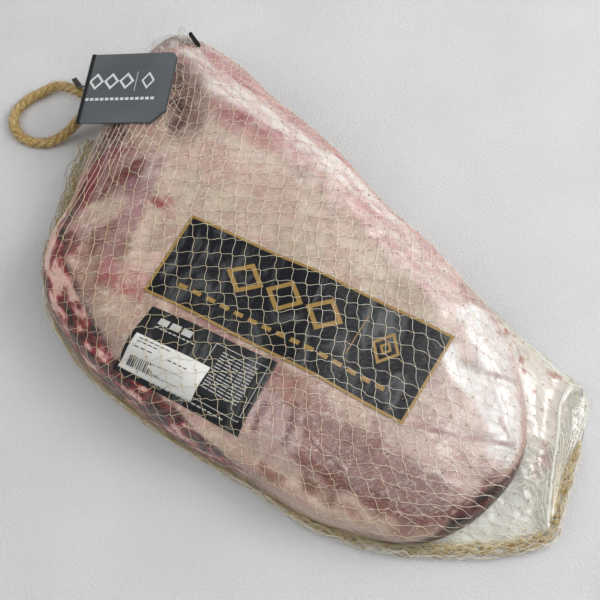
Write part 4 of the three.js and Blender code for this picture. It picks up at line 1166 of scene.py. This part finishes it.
class BRISKET_OT_film_tail(Operator):
    """The film's free end: a crumpled milky sheet over a flat one, clear outside its rolled edge"""
    bl_idname = "brisket.film_tail"
    bl_label = "Film tail"

    def execute(self, context):
        rows, columns = 260, 100
        degrees, v = np.meshgrid(
            np.linspace(TAIL_DEGREES[-1], TAIL_DEGREES[0], rows), np.linspace(0, 1, columns), indexing="ij")
        x, y, z = tail_surface(degrees, v)
        upper = np.stack([x, y, np.maximum(z, 0.8)], -1)
        lower = np.stack([x, y, np.minimum(0.35 + 0.25 * noise(x / 9, y / 9, 24), 0.6)], -1)
        # the sheet's sharp bends turn milky white below: a painted highlight along its creases
        around = np.roll(z, 3, 0) + np.roll(z, -3, 0) + np.roll(z, 2, 1) + np.roll(z, -2, 1)
        bend = np.abs(z - 0.25 * around)
        radius = np.hypot(x - CENTRE[0], y - CENTRE[1])
        outside = smooth_step(-3, 4, radius - through_knots(degrees, ROLL_DEGREES, ROLL_RADIUS))
        outside = outside * smooth_step(-2, 6, degrees)
        cloud = 0.76 + 1.5 * (fractal(x / 24, y / 30, 26, 5) - 0.47)
        haze = cloud * (1 - 0.75 * outside) + 0.5 * smooth_step(0.15, 0.6, bend)
        # pink fat and juice lie in the film beside the meat's far corner
        juice = smooth_step(9, 22, degrees + 9 * (fractal(x / 12, y / 12, 31) - 0.5)) * (
            1 - smooth_step(0.62, 0.9, v + 0.5 * (fractal(x / 14, y / 14, 27) - 0.5)))
        # the sheet turns clear where it starts against the meat's far side
        ragged = degrees + 7 * (fractal(x / 9, z / 9 + y / 20, 32, 4) - 0.5)
        start = smooth_step(TAIL_DEGREES[-1] - 15, TAIL_DEGREES[-1] - 3, ragged)
        haze = np.clip((haze + 0.5 * juice) * (1 - 0.95 * start), 0.04, 1.2)
        tint = np.tile(np.array(srgb("#F3F4EB"))[:3], (rows, columns, 1))
        tint = blend(tint, "#F6EEE6", juice)
        tint = blend(tint, "#C8958A", juice * smooth_step(0.53, 0.6, fractal(x / 12 + y / 30, y / 16, 28, 5)))
        points, faces = close_sheet(upper.reshape(-1, 3), lower.reshape(-1, 3), rows, columns)
        haze = np.concatenate([haze.ravel(), np.full(haze.size, 0.12)])
        colours = np.concatenate([opaque(tint.reshape(-1, 3)), one_colour(rows * columns, "#E6E8DE")])
        film = thin_film("Clear film, crumpled and empty", 0.78, 0.24, 30, 0.0012, 0.3)
        new_piece("film_free_end", points, faces, film, "clear_film", ["film_tail"], values={"haze": haze},
                  colours=colours)

        # the rolled edge shows as two white lines, drawn milky white: partly the rolled film's own whiteness,
        # partly a painted highlight along its curve
        bright = thin_film("Clear film, rolled edge", 1.0, 0.15, 200, 0.0006)
        plan = spread(ROLL_LINE, 200)
        plan = plan + 0.8 * (noise(np.arange(200)[:, None] / 9.0, np.array([[0.0, 7.0]]), 29) - 0.5)
        thick = np.interp(np.arange(200), [0, 50, 80, 190, 199], [0.35, 0.6, 1.3, 1.1, 0.6])
        thick = thick * (0.75 + 0.5 * noise(np.arange(200) / 7.0, np.zeros(200), 30))
        line = np.concatenate([plan, np.maximum(tail_height(*plan.T) + 0.6, thick + 0.2)[:, None]], -1)
        points, faces = tubes(line[None], thick[None], 8)
        new_piece("film_rolled_edge", points, faces, bright, "clear_film",
                  values={"haze": np.full(len(points), 0.8)}, colours=one_colour(len(points), "#F7F8F2"))

        # the bunched corner at the thick end: a tapering tube pleated round its section
        path = spread(CORNER_PATH, 40)
        half = through_knots(np.linspace(0, 3, 40), [0, 1, 2, 3], CORNER_HALF)
        turn = np.linspace(0, 2 * np.pi, 72, endpoint=False)
        along = np.linspace(0, 1, 40)[:, None]
        pleat = 1 + 0.22 * np.abs(np.sin(5 * turn + 2.2 * along)) - 0.2 + 0.25 * (
            fractal(turn * 3 + 0 * along, along * 7 + 0 * turn, 81) - 0.5)
        side, up = turning_frames(path)[1:]
        ring = side[:, None] * np.cos(turn)[None, :, None] + up[:, None] * np.sin(turn)[None, :, None]
        points = (path[:, None] + ring * (half[:, None] * pleat)[..., None]).reshape(-1, 3)
        quads = grid_faces(40, 72)
        wrap = np.stack([np.arange(39) * 72 + 71, (np.arange(39) + 1) * 72 + 71,
                         (np.arange(39) + 1) * 72, np.arange(39) * 72], -1)
        faces = quads.tolist() + wrap.tolist() + [list(range(72)), list(range(39 * 72 + 71, 39 * 72 - 1, -1))]
        bunch = thin_film("Clear film, bunched corner", 0.75, 0.12, 120, 0.0015)
        haze = np.clip(0.45 + 0.9 * (pleat - 0.9), 0.2, 1.3)
        new_piece("film_bunch", points, faces, bunch, "clear_film", ["film_corner"], values={"haze": haze},
                  colours=one_colour(len(points), "#F6F6F2"))

        # a flap of film that stands out round the thick end's far corner
        outer = spread(FLAP_EDGE, 80)
        inner = spread(FLAP_ROOT, 80)
        v = np.linspace(0, 1, 16)[None, :, None]
        sheet = outer[:, None] * (1 - v) + inner[:, None] * v
        sheet[..., 2] += 1.5 * np.sin(np.pi * v[..., 0])
        sheet[..., 2] += 0.8 * (noise(sheet[..., 0] / 7, sheet[..., 1] / 8, 82) - 0.5)
        # painted highlight: milky white along the flap's outer edge and in streaks, where clear film catches
        # the light
        streak = smooth_step(0.62, 0.8, noise(sheet[..., 0] / 4, sheet[..., 1] / 5, 83))
        haze = 0.9 * np.exp(-(v[..., 0] / 0.07) ** 2) + 0.4 * streak
        lower = sheet - [0, 0, 0.2]
        points, faces = close_sheet(sheet.reshape(-1, 3), lower.reshape(-1, 3), 80, 16)
        flap = thin_film("Clear film, smooth flap", 0.75, 0.1, 40, 0.0005)
        new_piece("film_flap", points, faces, flap, "clear_film",
                  values={"haze": np.tile(haze.ravel(), 2)}, colours=one_colour(len(points), "#F4F4F0"))
        return {"FINISHED"}


# outer edge of the film's flap at the thick end, and where it meets the meat
FLAP_EDGE = [(-262, 84, 42), (-268, 98, 45), (-265, 110, 47), (-257, 121, 48), (-246, 124, 48), (-232, 128, 45)]
FLAP_ROOT = [(-252, 82, 50), (-252, 92, 52), (-250, 100, 53), (-246, 108, 53), (-238, 114, 53), (-226, 120, 52)]


def girth_table(rows, samples):
    """Slices across the pack: for each place along X, points at even lengths round the section, from the
    middle of the underside, over the near side and the top, and back."""
    turn = np.linspace(-np.pi, np.pi, 2881)
    edge_x, edge_y = around(turn, pack_radius(turn))
    xs = np.linspace(edge_x.min() + 1.5, edge_x.max() - 1.5, rows)
    table = np.empty((rows, samples, 2))
    across = 0.5 - 0.5 * np.cos(np.linspace(0, np.pi, 240))
    for row, x in enumerate(xs):
        cut = np.nonzero((edge_x[:-1] - x) * (edge_x[1:] - x) <= 0)[0]
        low, high = edge_y[cut].min(), edge_y[cut].max()
        y = low + (high - low) * across
        z = pack_height(np.full_like(y, x), y) + NET_LIFT
        z[0], z[-1] = z[1], z[-2]
        drop = np.linspace(0, 1, 10)[1:]
        inset = 8 * drop**2 * min(1, z[0] / 20)
        near = np.stack([low - 0.6 + inset, z[0] * (1 - drop) + 0.5 * drop], -1)[::-1]
        far = np.stack([high + 0.6 - inset, z[-1] * (1 - drop) + 0.5 * drop], -1)
        middle = 0.5 * (near[0] + far[-1])
        section = np.concatenate([[middle], near, np.stack([y, z], -1), far, [middle]])
        run = np.concatenate([[0], np.cumsum(np.linalg.norm(np.diff(section, axis=0), axis=1))])
        even = np.linspace(0, run[-1], samples)
        table[row] = np.stack([np.interp(even, run, section[:, k]) for k in range(2)], -1)
    return xs, table


def from_table(xs, table, x, share):
    """Point on the pack at a place along X and a share of the way round, straight between the table's rows."""
    rows, samples = table.shape[:2]
    x = np.clip(x, xs[0], xs[-1])
    a = np.clip((x - xs[0]) / (xs[-1] - xs[0]) * (rows - 1), 0, rows - 1.001)
    b = (share % 1.0) * (samples - 1)
    i, j = a.astype(int), np.minimum(b.astype(int), samples - 2)
    s, t = (a - i)[..., None], (b - j)[..., None]
    yz = ((table[i, j] * (1 - s) + table[i + 1, j] * s) * (1 - t)
          + (table[i, j + 1] * (1 - s) + table[i + 1, j + 1] * s) * t)
    return np.concatenate([x[..., None], yz], -1)


class BRISKET_OT_net(Operator):
    """The net's threads in two crossing families round the whole pack, with small knots where they meet"""
    bl_idname = "brisket.net"
    bl_label = "Net"

    def execute(self, context):
        settings = context.scene.brisket_net
        count, pitch = settings.around_count, settings.pitch / MM
        xs, table = girth_table(200, 400)
        # the cells are drawn out along the thin end, and open again over the film
        x = np.linspace(xs[0], xs[-1], 330)
        stretch = 1 + 0.5 * smooth_step(20, 150, x) - 0.3 * smooth_step(200, 250, x)
        phase = np.concatenate([[0], np.cumsum(np.diff(x) / (pitch * 0.5 * (stretch[1:] + stretch[:-1])))])

        def warp(place, share):
            """Slow drifts of the net along and round the pack, the same for both families."""
            drift = 7 * (noise(place / 60, share * 9, 91) - 0.5)
            drift = drift + 4 * (noise(place / 20, share * 27, 92) - 0.5)
            slide = 0.016 * (noise(place / 55, share * 8, 93) - 0.5)
            slide = slide + 0.009 * (noise(place / 18, share * 25, 94) - 0.5)
            # threads gather at the sides of the film's free end
            spare = 0.72 * smooth_step(190, 235, place)
            # the net is pulled askew along the thin end
            skew = -0.00052 * np.clip(place - 10, 0, 190)
            return place + drift, share + skew + slide + spare * np.sin(4 * np.pi * share) / (4 * np.pi)

        lines = []
        for direction in (1, -1):
            start = np.arange(count)[:, None] / count
            # threads lie side by side for a little at each knot
            kink = -0.055 / count * np.sin(4 * np.pi * phase)
            share = start + direction * (phase / count + kink)
            place = np.broadcast_to(x, share.shape)
            lines.append(from_table(xs, table, *warp(place, share)))
        centre = np.concatenate(lines)
        lifted = centre[..., 2] + 1.6 * on_labels(centre[..., 0], centre[..., 1]) * (centre[..., 2] > 20)
        centre = np.stack([centre[..., 0], centre[..., 1], np.maximum(lifted, 0.4)], -1)
        points, faces = tubes(centre, 0.5 * settings.thread / MM)
        # pale over the fat, golden round the edges
        gold = 0.45 + 0.45 * smooth_step(4, 26, centre[..., 2] + 22 * smooth_step(190, 230, centre[..., 0]))
        gold = gold - 0.16 * (1 - smooth_step(-60, 60, centre[..., 0]))
        gold = gold - 0.24 * (1 - smooth_step(-50, 10, centre[..., 1]))
        strand = 0.2 * noise(np.arange(2 * count)[:, None] * 2.3, x[None] / 30, 95)
        shade = np.repeat((gold + strand).ravel(), 4)
        cream = net_thread("Cream netting thread", [
            (0.0, "#A08650"), (0.4, "#D2BF8E"), (0.7, "#E4D6B4"), (1.0, "#F6EEDC")])
        new_piece("net_threads", points, faces, cream, "net_thread", values={"shade": shade})

        # a knot where two threads cross: a small eight-sided bead
        m = np.arange(int(phase[0] * 2) + 1, int(phase[-1] * 2))
        k = np.arange(count)
        place = np.interp(m / 2, phase, x)
        share = (k[:, None] + (m % 2)[None] * 0.5) / count
        place = np.broadcast_to(place, share.shape)
        knots = from_table(xs, table, *warp(place, share)).reshape(-1, 3)
        knots[:, 2] += 1.6 * on_labels(knots[:, 0], knots[:, 1]) * (knots[:, 2] > 20)
        knots = knots[knots[:, 2] > 3]
        number = len(knots)
        size = 0.42 + 0.3 * noise(np.arange(number) * 1.7, np.zeros(number), 96)
        tips = np.array([(1, 0, 0), (0, 1, 0), (-1, 0, 0), (0, -1, 0), (0, 0, 1), (0, 0, -1)], float)
        points = (knots[:, None] + tips * size[:, None, None] * [1.3, 1.0, 0.8]).reshape(-1, 3)
        pattern = np.array([
            (0, 1, 4), (1, 2, 4), (2, 3, 4), (3, 0, 4), (1, 0, 5), (2, 1, 5), (3, 2, 5), (0, 3, 5)])
        faces = (pattern[None] + 6 * np.arange(number)[:, None, None]).reshape(-1, 3).tolist()
        shade = np.repeat(noise(np.arange(number) * 5.1, np.ones(number), 97), 6)
        beads = net_thread("Netting knots, ochre to green", [
            (0.0, "#75602F"), (0.35, "#93703E"), (0.7, "#B28A55"), (1.0, "#D4BA88")])
        new_piece("net_knots", points, faces, beads, "net_thread", values={"shade": shade})
        return {"FINISHED"}


def on_labels(x, y):
    """1 over the two labels and 0 beyond 8 mm outside them."""
    return np.maximum(over(INFO_LABEL, x, y), over(PRICE_STICKER, x, y))


def roll_path(spec, edge_radius, samples):
    """Centreline of a roll of net on the table, with its half width and half height along it."""
    degrees = np.linspace(spec["degrees"][0], spec["degrees"][-1], samples)
    out, half, high = [through_knots(degrees, spec["degrees"], spec[key]) for key in ("out", "half", "high")]
    x, y = around(np.radians(degrees), edge_radius(degrees) + out)
    step = np.arange(samples) / samples
    taper = np.sqrt(np.clip(0.35 + 12 * np.minimum(step, 1 - step), 0, 1))
    return np.stack([x, y, high], -1), half * taper, high * taper


def meat_edge(degrees):
    """Radius of the meat's outline."""
    return outline_radius(np.radians(degrees))


def hem_edge(degrees):
    """Radius that the hem follows: the meat's, and the film's beyond a given angle."""
    meat = meat_edge(degrees)
    return np.where(degrees < HEM_JOINS_TAIL, meat, np.maximum(meat, tail_radius(degrees)))


def strands(path, half_width, half_height, count, seed, wander=1.0):
    """Threads gathered in a roll. Each keeps a place in the roll's oval section, given by a turn and a reach
    from its middle, and both drift slowly along the roll."""
    samples = len(path)
    rng = np.random.default_rng(seed)
    along = np.linspace(0, 1, samples)[None]
    turn = rng.uniform(0, 2 * np.pi, (count, 1))
    reach = np.sqrt(rng.uniform(0.1, 0.92, (count, 1)))
    rate = rng.uniform(1.5, 5, (count, 1))
    turn = turn + wander * 1.2 * np.sin(2 * np.pi * (rate * along + rng.uniform(0, 1, (count, 1))))
    turn = turn + 0.5 * wander * np.sin(2 * np.pi * (rate * 4.1 * along + rng.uniform(0, 1, (count, 1))))
    swing = np.sin(2 * np.pi * (rate * 1.9 * along + rng.uniform(0, 1, (count, 1))))
    reach = np.clip(reach + 0.22 * swing, 0.05, 1)
    ahead = np.gradient(path, axis=0)
    ahead /= np.linalg.norm(ahead, axis=-1, keepdims=True)
    side = np.cross(ahead, [0, 0, 1.0])
    side /= np.linalg.norm(side, axis=-1, keepdims=True)
    up = np.cross(side, ahead)
    centre = (path[None] + side[None] * (reach * np.cos(turn) * half_width)[..., None]
              + up[None] * (reach * np.sin(turn) * half_height)[..., None])
    centre[..., 2] = np.maximum(centre[..., 2], 0.5)
    return centre


class BRISKET_OT_gathers(Operator):
    """Bundles of gathered net: the hem, the two folds on the table and the neck, and loose curly threads"""
    bl_idname = "brisket.gathers"
    bl_label = "Gathered net"

    def execute(self, context):
        gold = net_thread("Gathered netting, gold and green", [
            (0.0, "#9A8448"), (0.14, "#BCA468"), (0.4, "#D8C9A0"), (0.7, "#E8DEC6"), (1.0, "#F3EDE0")])
        rolls = [
            ("net_hem_threads", "net_hem", roll_path(HEM, hem_edge, 260), 26, 0.24, 101),
            ("net_fold_near_threads", "net_fold_near", roll_path(NEAR_FOLD, meat_edge, 360), 18, 0.22, 102),
            ("net_fold_far_threads", "net_fold_far", roll_path(FAR_FOLD, meat_edge, 200), 12, 0.24, 103),
        ]
        beside_neck = {key: values[:6] for key, values in NEAR_FOLD.items()}
        rolls.append(("net_neck_fall", None, roll_path(beside_neck, meat_edge, 120), 20, 0.26, 107))
        neck = spread(NECK_PATH, 40)
        place = np.linspace(0, 3, 40)
        half = through_knots(place, [0, 1, 2, 3], NECK_HALF)
        high = through_knots(place, [0, 1, 2, 3], NECK_HIGH)
        rolls.append(("net_neck_threads", "net_neck", (neck, half, high), 90, 0.4, 104))
        for name, node, (path, wide, tall), count, radius, seed in rolls:
            centre = strands(path, wide, tall, count, seed, 0.3 if node is None else 1.0)
            points, faces = tubes(centre, radius)
            shade = np.repeat(np.random.default_rng(seed).uniform(0, 1, count), len(path) * 4)
            if node is None:
                shade = 0.28 * shade
            nodes = [node] if node else []
            new_piece(name, points, faces, gold, "net_thread", nodes, values={"shade": shade})

        # knots of golden thread pulled together along the hem
        hem, wide, tall = roll_path(HEM, hem_edge, 260)
        rng = np.random.default_rng(106)
        count, samples = 110, 14
        at = (260 * rng.beta(3.2, 2.2, count)).astype(int).clip(4, 255)
        middle = hem[at] + rng.uniform(-1, 1, (count, 3)) * np.stack([wide[at], wide[at], tall[at]], -1) * 0.6
        along = np.linspace(0, 1, samples)[None, :, None]
        phase = rng.uniform(0, 2 * np.pi, (count, 1, 3))
        curl = np.sin(2 * np.pi * along * rng.uniform(0.8, 1.6, (count, 1, 3)) + phase)
        middle = middle[:, None] + curl * rng.uniform(0.6, 1.7, (count, 1, 1))
        middle[..., 2] = np.clip(middle[..., 2], 0.6, 12)
        points, faces = tubes(middle, 0.3)
        yellow = net_thread("Golden knots in the net", [(0.0, "#8A6A2A"), (0.5, "#C29C4C"), (1.0, "#DCC588")])
        shade = np.repeat(rng.uniform(0, 1, count), samples * 4)
        new_piece("net_hem_knots", points, faces, yellow, "net_thread", values={"shade": shade})

        # loose threads that curl over the dip beside the tag
        rng = np.random.default_rng(105)
        count, samples = 12, 60
        along = np.linspace(0, 1, samples)[None]
        start = np.array([-205.0, 72.0]) + rng.uniform(-1, 1, (count, 2)) * [26, 34]
        heading = rng.uniform(0, 2 * np.pi, (count, 1)) + 1.2 * np.sin(
            2 * np.pi * (rng.uniform(0.4, 1.1, (count, 1)) * along + rng.uniform(0, 1, (count, 1))))
        step = rng.uniform(34, 66, (count, 1)) / samples
        x = start[:, :1] + np.cumsum(np.cos(heading) * step, 1)
        y = start[:, 1:] + np.cumsum(np.sin(heading) * step, 1)
        x = np.clip(x, -238, -150)
        inside = np.maximum(meat_height(x, y), 30)
        z = inside + 1.6 + 1.2 * np.sin(np.pi * along) * rng.uniform(0, 1, (count, 1))
        points, faces = tubes(np.stack([x, y, z], -1), 0.22)
        shade = np.repeat(rng.uniform(0.75, 0.98, count), samples * 4)
        new_piece("net_loose_threads", points, faces, gold, "net_thread", values={"shade": shade})
        return {"FINISHED"}


def turning_frames(path):
    """Side and up vectors along a path that turn as little as they can."""
    ahead = np.gradient(path, axis=0)
    ahead /= np.linalg.norm(ahead, axis=-1, keepdims=True)
    side = np.empty_like(path)
    current = np.cross(ahead[0], [0, 0, 1.0])
    for k, direction in enumerate(ahead):
        current = current - direction * (current @ direction)
        current /= np.linalg.norm(current)
        side[k] = current
    return ahead, side, np.cross(side, ahead)


class BRISKET_OT_rope(Operator):
    """The rope loop: three twisted strands along its route, with loose fibres"""
    bl_idname = "brisket.rope"
    bl_label = "Rope loop"

    def execute(self, context):
        settings = context.scene.brisket_rope
        samples, sides = 320, 14
        path = spread(ROPE_ROUTE, samples)
        run = np.concatenate([[0], np.cumsum(np.linalg.norm(np.diff(path, axis=0), axis=1))])
        ahead, side, up = turning_frames(path)
        radius = 0.5 * settings.diameter / MM
        offset, thick = 0.5 * radius, 0.64 * radius
        parts, uvs = [], []
        turn = np.arange(sides + 1) / sides * 2 * np.pi
        for strand in range(3):
            lay = 2 * np.pi * (run / (settings.lay / MM) + strand / 3)
            middle = path + offset * (side * np.cos(lay)[:, None] + up * np.sin(lay)[:, None])
            ridges = 1 + 0.12 * np.sin(6 * turn[None] + run[:, None] * 0.7) + 0.26 * (
                noise(run[:, None] / 1.4, turn[None] * 3, 111 + strand) - 0.5)
            ring = side[:, None] * np.cos(turn)[None, :, None] + up[:, None] * np.sin(turn)[None, :, None]
            points = middle[:, None] + ring * (thick * ridges)[..., None]
            points[:, -1] = points[:, 0]
            points[..., 2] = np.maximum(points[..., 2], 0.15)
            faces = grid_faces(samples, sides + 1).tolist()
            end = (samples - 1) * (sides + 1)
            faces += [list(range(sides)), list(range(end + sides - 1, end - 1, -1))]
            parts.append((points.reshape(-1, 3), faces))
            u = np.broadcast_to(turn[None] / (2 * np.pi) + lay[:, None] / 6, (samples, sides + 1))
            v = np.broadcast_to(run[:, None] / 20, (samples, sides + 1))
            uvs.append(np.stack([u, v], -1).reshape(-1, 2))
        points, faces = join(parts)
        laid = jute("Jute rope, laid in three strands")
        rope = new_piece("jute_rope_loop", points, faces, laid, "jute_rope", ["rope_loop"],
                         uv=np.concatenate(uvs))

        rng = np.random.default_rng(115)
        count, steps = settings.fuzz, 6
        at = rng.integers(2, samples - 2, count)
        turn = rng.uniform(0, 2 * np.pi, count)
        outward = side[at] * np.cos(turn)[:, None] + up[at] * np.sin(turn)[:, None]
        root = path[at] + outward * 0.95 * radius
        lean = ahead[at] * rng.uniform(-1.3, 1.3, (count, 1)) + outward * rng.uniform(0.25, 1.0, (count, 1))
        curl = rng.normal(0, 0.5, (count, 3))
        s = np.linspace(0, 1, steps)[None, :, None]
        length = rng.uniform(1.0, 4.6, (count, 1, 1))
        hair = root[:, None] + lean[:, None] * s * length + curl[:, None] * s**2 * length * 0.5
        hair[..., 2] = np.maximum(hair[..., 2], 0.2)
        points, faces = tubes(hair, np.linspace(0.12, 0.05, steps)[None], 3)
        loose = net_thread("Loose jute fibres", [(0.0, "#9A7C44"), (0.5, "#C9AC70"), (1.0, "#E8D8B0")])
        shade = np.repeat(rng.uniform(0, 1, count), steps * 3)
        fuzz = new_piece("jute_fuzz", points, faces, loose, "jute_rope", values={"shade": shade})
        return {"FINISHED"}


def tag_axes():
    """The tag's directions, away from the spine, along it and down through the leaves, and its width."""
    along = TAG_SPINE_NEAR - TAG_SPINE_FAR
    across = TAG_FREE_FAR - TAG_SPINE_FAR
    width = np.linalg.norm(along)
    y = along / width
    x = across - y * (across @ y)
    x /= np.linalg.norm(x)
    return x, y, np.cross(x, y), width


class BRISKET_OT_tag(Operator):
    """Finish of the folded hang tag and its clips, the tag's dark spine and its plain light shapes"""
    bl_idname = "brisket.tag"
    bl_label = "Hang tag"

    def execute(self, context):
        card = coated_card("Coated grey card", "#595D5F", 0.5)
        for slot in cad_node("hang_tag").material_slots:
            slot.material = card
        black = moulded_plastic("Black moulded plastic", "#121316", 0.35)
        for name in ("neck_clip", "bag_clip"):
            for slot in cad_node(name).material_slots:
                slot.material = black
        x, y, down, width = tag_axes()

        def on_tag(u, v):
            """Point on the upper leaf, u along the spine from the near end and v away from the spine."""
            rise = 2 * TAG_LEAF + v * np.sin(TAG_OPEN) + 0.06
            return (TAG_SPINE_FAR + x * v[..., None] * np.cos(TAG_OPEN) + y * u[..., None]
                    - down * rise[..., None])

        turn = np.linspace(0, 2 * np.pi, 25)[:-1]
        ends = np.linspace(0, width, 24)[:, None, None]
        radius = 1.35 + 0.5 * np.abs(np.cos(turn))
        binding = (TAG_SPINE_FAR + y * ends + x * (1.6 + 2.0 * np.cos(turn))[None, :, None]
                   - down * (0.5 + 0.9 * radius * np.sin(turn))[None, :, None])
        faces = grid_faces(24, 24).tolist()
        faces += [[k * 24 + 23, (k + 1) * 24 + 23, (k + 1) * 24, k * 24] for k in range(23)]
        faces += [list(range(24)), list(range(24 * 24 - 1, 23 * 24 - 1, -1))]
        spine = moulded_plastic("Black elastic binding", "#1A1B1D", 0.6)
        new_piece("tag_binding", binding.reshape(-1, 3), faces, spine, "grey_card")

        boxes = []
        for k in range(3):
            boxes += diamond_ring(0.40 * width, 9.5 + 14 * k, 8.2, 7, 2.6)
        boxes += [bar(0.27 * width, 46, 0.55 * width, 46.5)]
        boxes += diamond_ring(0.40 * width, 57, 8.4, 6, 1.9)
        boxes += [bar(0.64 * width, 3 + 4.6 * k, 0.64 * width + 2.6, 6.2 + 4.6 * k) for k in range(14)]
        light = plain_ink("Light grey ink on card", "#D8D9D9", 0.5)
        new_piece("tag_print", *marks(on_tag, boxes), light, "grey_card")
        return {"FINISHED"}


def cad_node(name):
    """The CAD node's own object."""
    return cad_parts[name]


OPERATORS = [
    BRISKET_OT_stage, BRISKET_OT_rope, BRISKET_OT_meat, BRISKET_OT_film, BRISKET_OT_print,
    BRISKET_OT_film_tail, BRISKET_OT_net, BRISKET_OT_gathers, BRISKET_OT_tag,
]


class BRISKET_PT_panel(Panel):
    """Sizes and colours, and a button for each piece"""
    bl_idname = "BRISKET_PT_panel"
    bl_label = "Packed Brisket"
    bl_space_type = "VIEW_3D"
    bl_region_type = "UI"
    bl_category = "Brisket"

    def draw(self, context):
        scene = context.scene
        for group in (scene.brisket_meat, scene.brisket_net, scene.brisket_rope, scene.brisket_stage):
            for name in group.bl_rna.properties.keys():
                if name not in {"rna_type", "name"}:
                    self.layout.prop(group, name)
        for operator in OPERATORS:
            self.layout.operator(operator.bl_idname)


SETTINGS = {
    "brisket_meat": BrisketMeatSettings,
    "brisket_net": BrisketNetSettings,
    "brisket_rope": BrisketRopeSettings,
    "brisket_stage": BrisketStageSettings,
}


def register():
    for group in (*SETTINGS.values(), *OPERATORS, BRISKET_PT_panel):
        bpy.utils.register_class(group)
    for name, group in SETTINGS.items():
        setattr(bpy.types.Scene, name, PointerProperty(type=group))


def unregister():
    for name in SETTINGS:
        delattr(bpy.types.Scene, name)
    for group in reversed((*SETTINGS.values(), *OPERATORS, BRISKET_PT_panel)):
        bpy.utils.unregister_class(group)


def main():
    register()
    for operator in OPERATORS:
        area, name = operator.bl_idname.split(".")
        getattr(getattr(bpy.ops, area), name)()


if __name__ == "__main__":
    main()
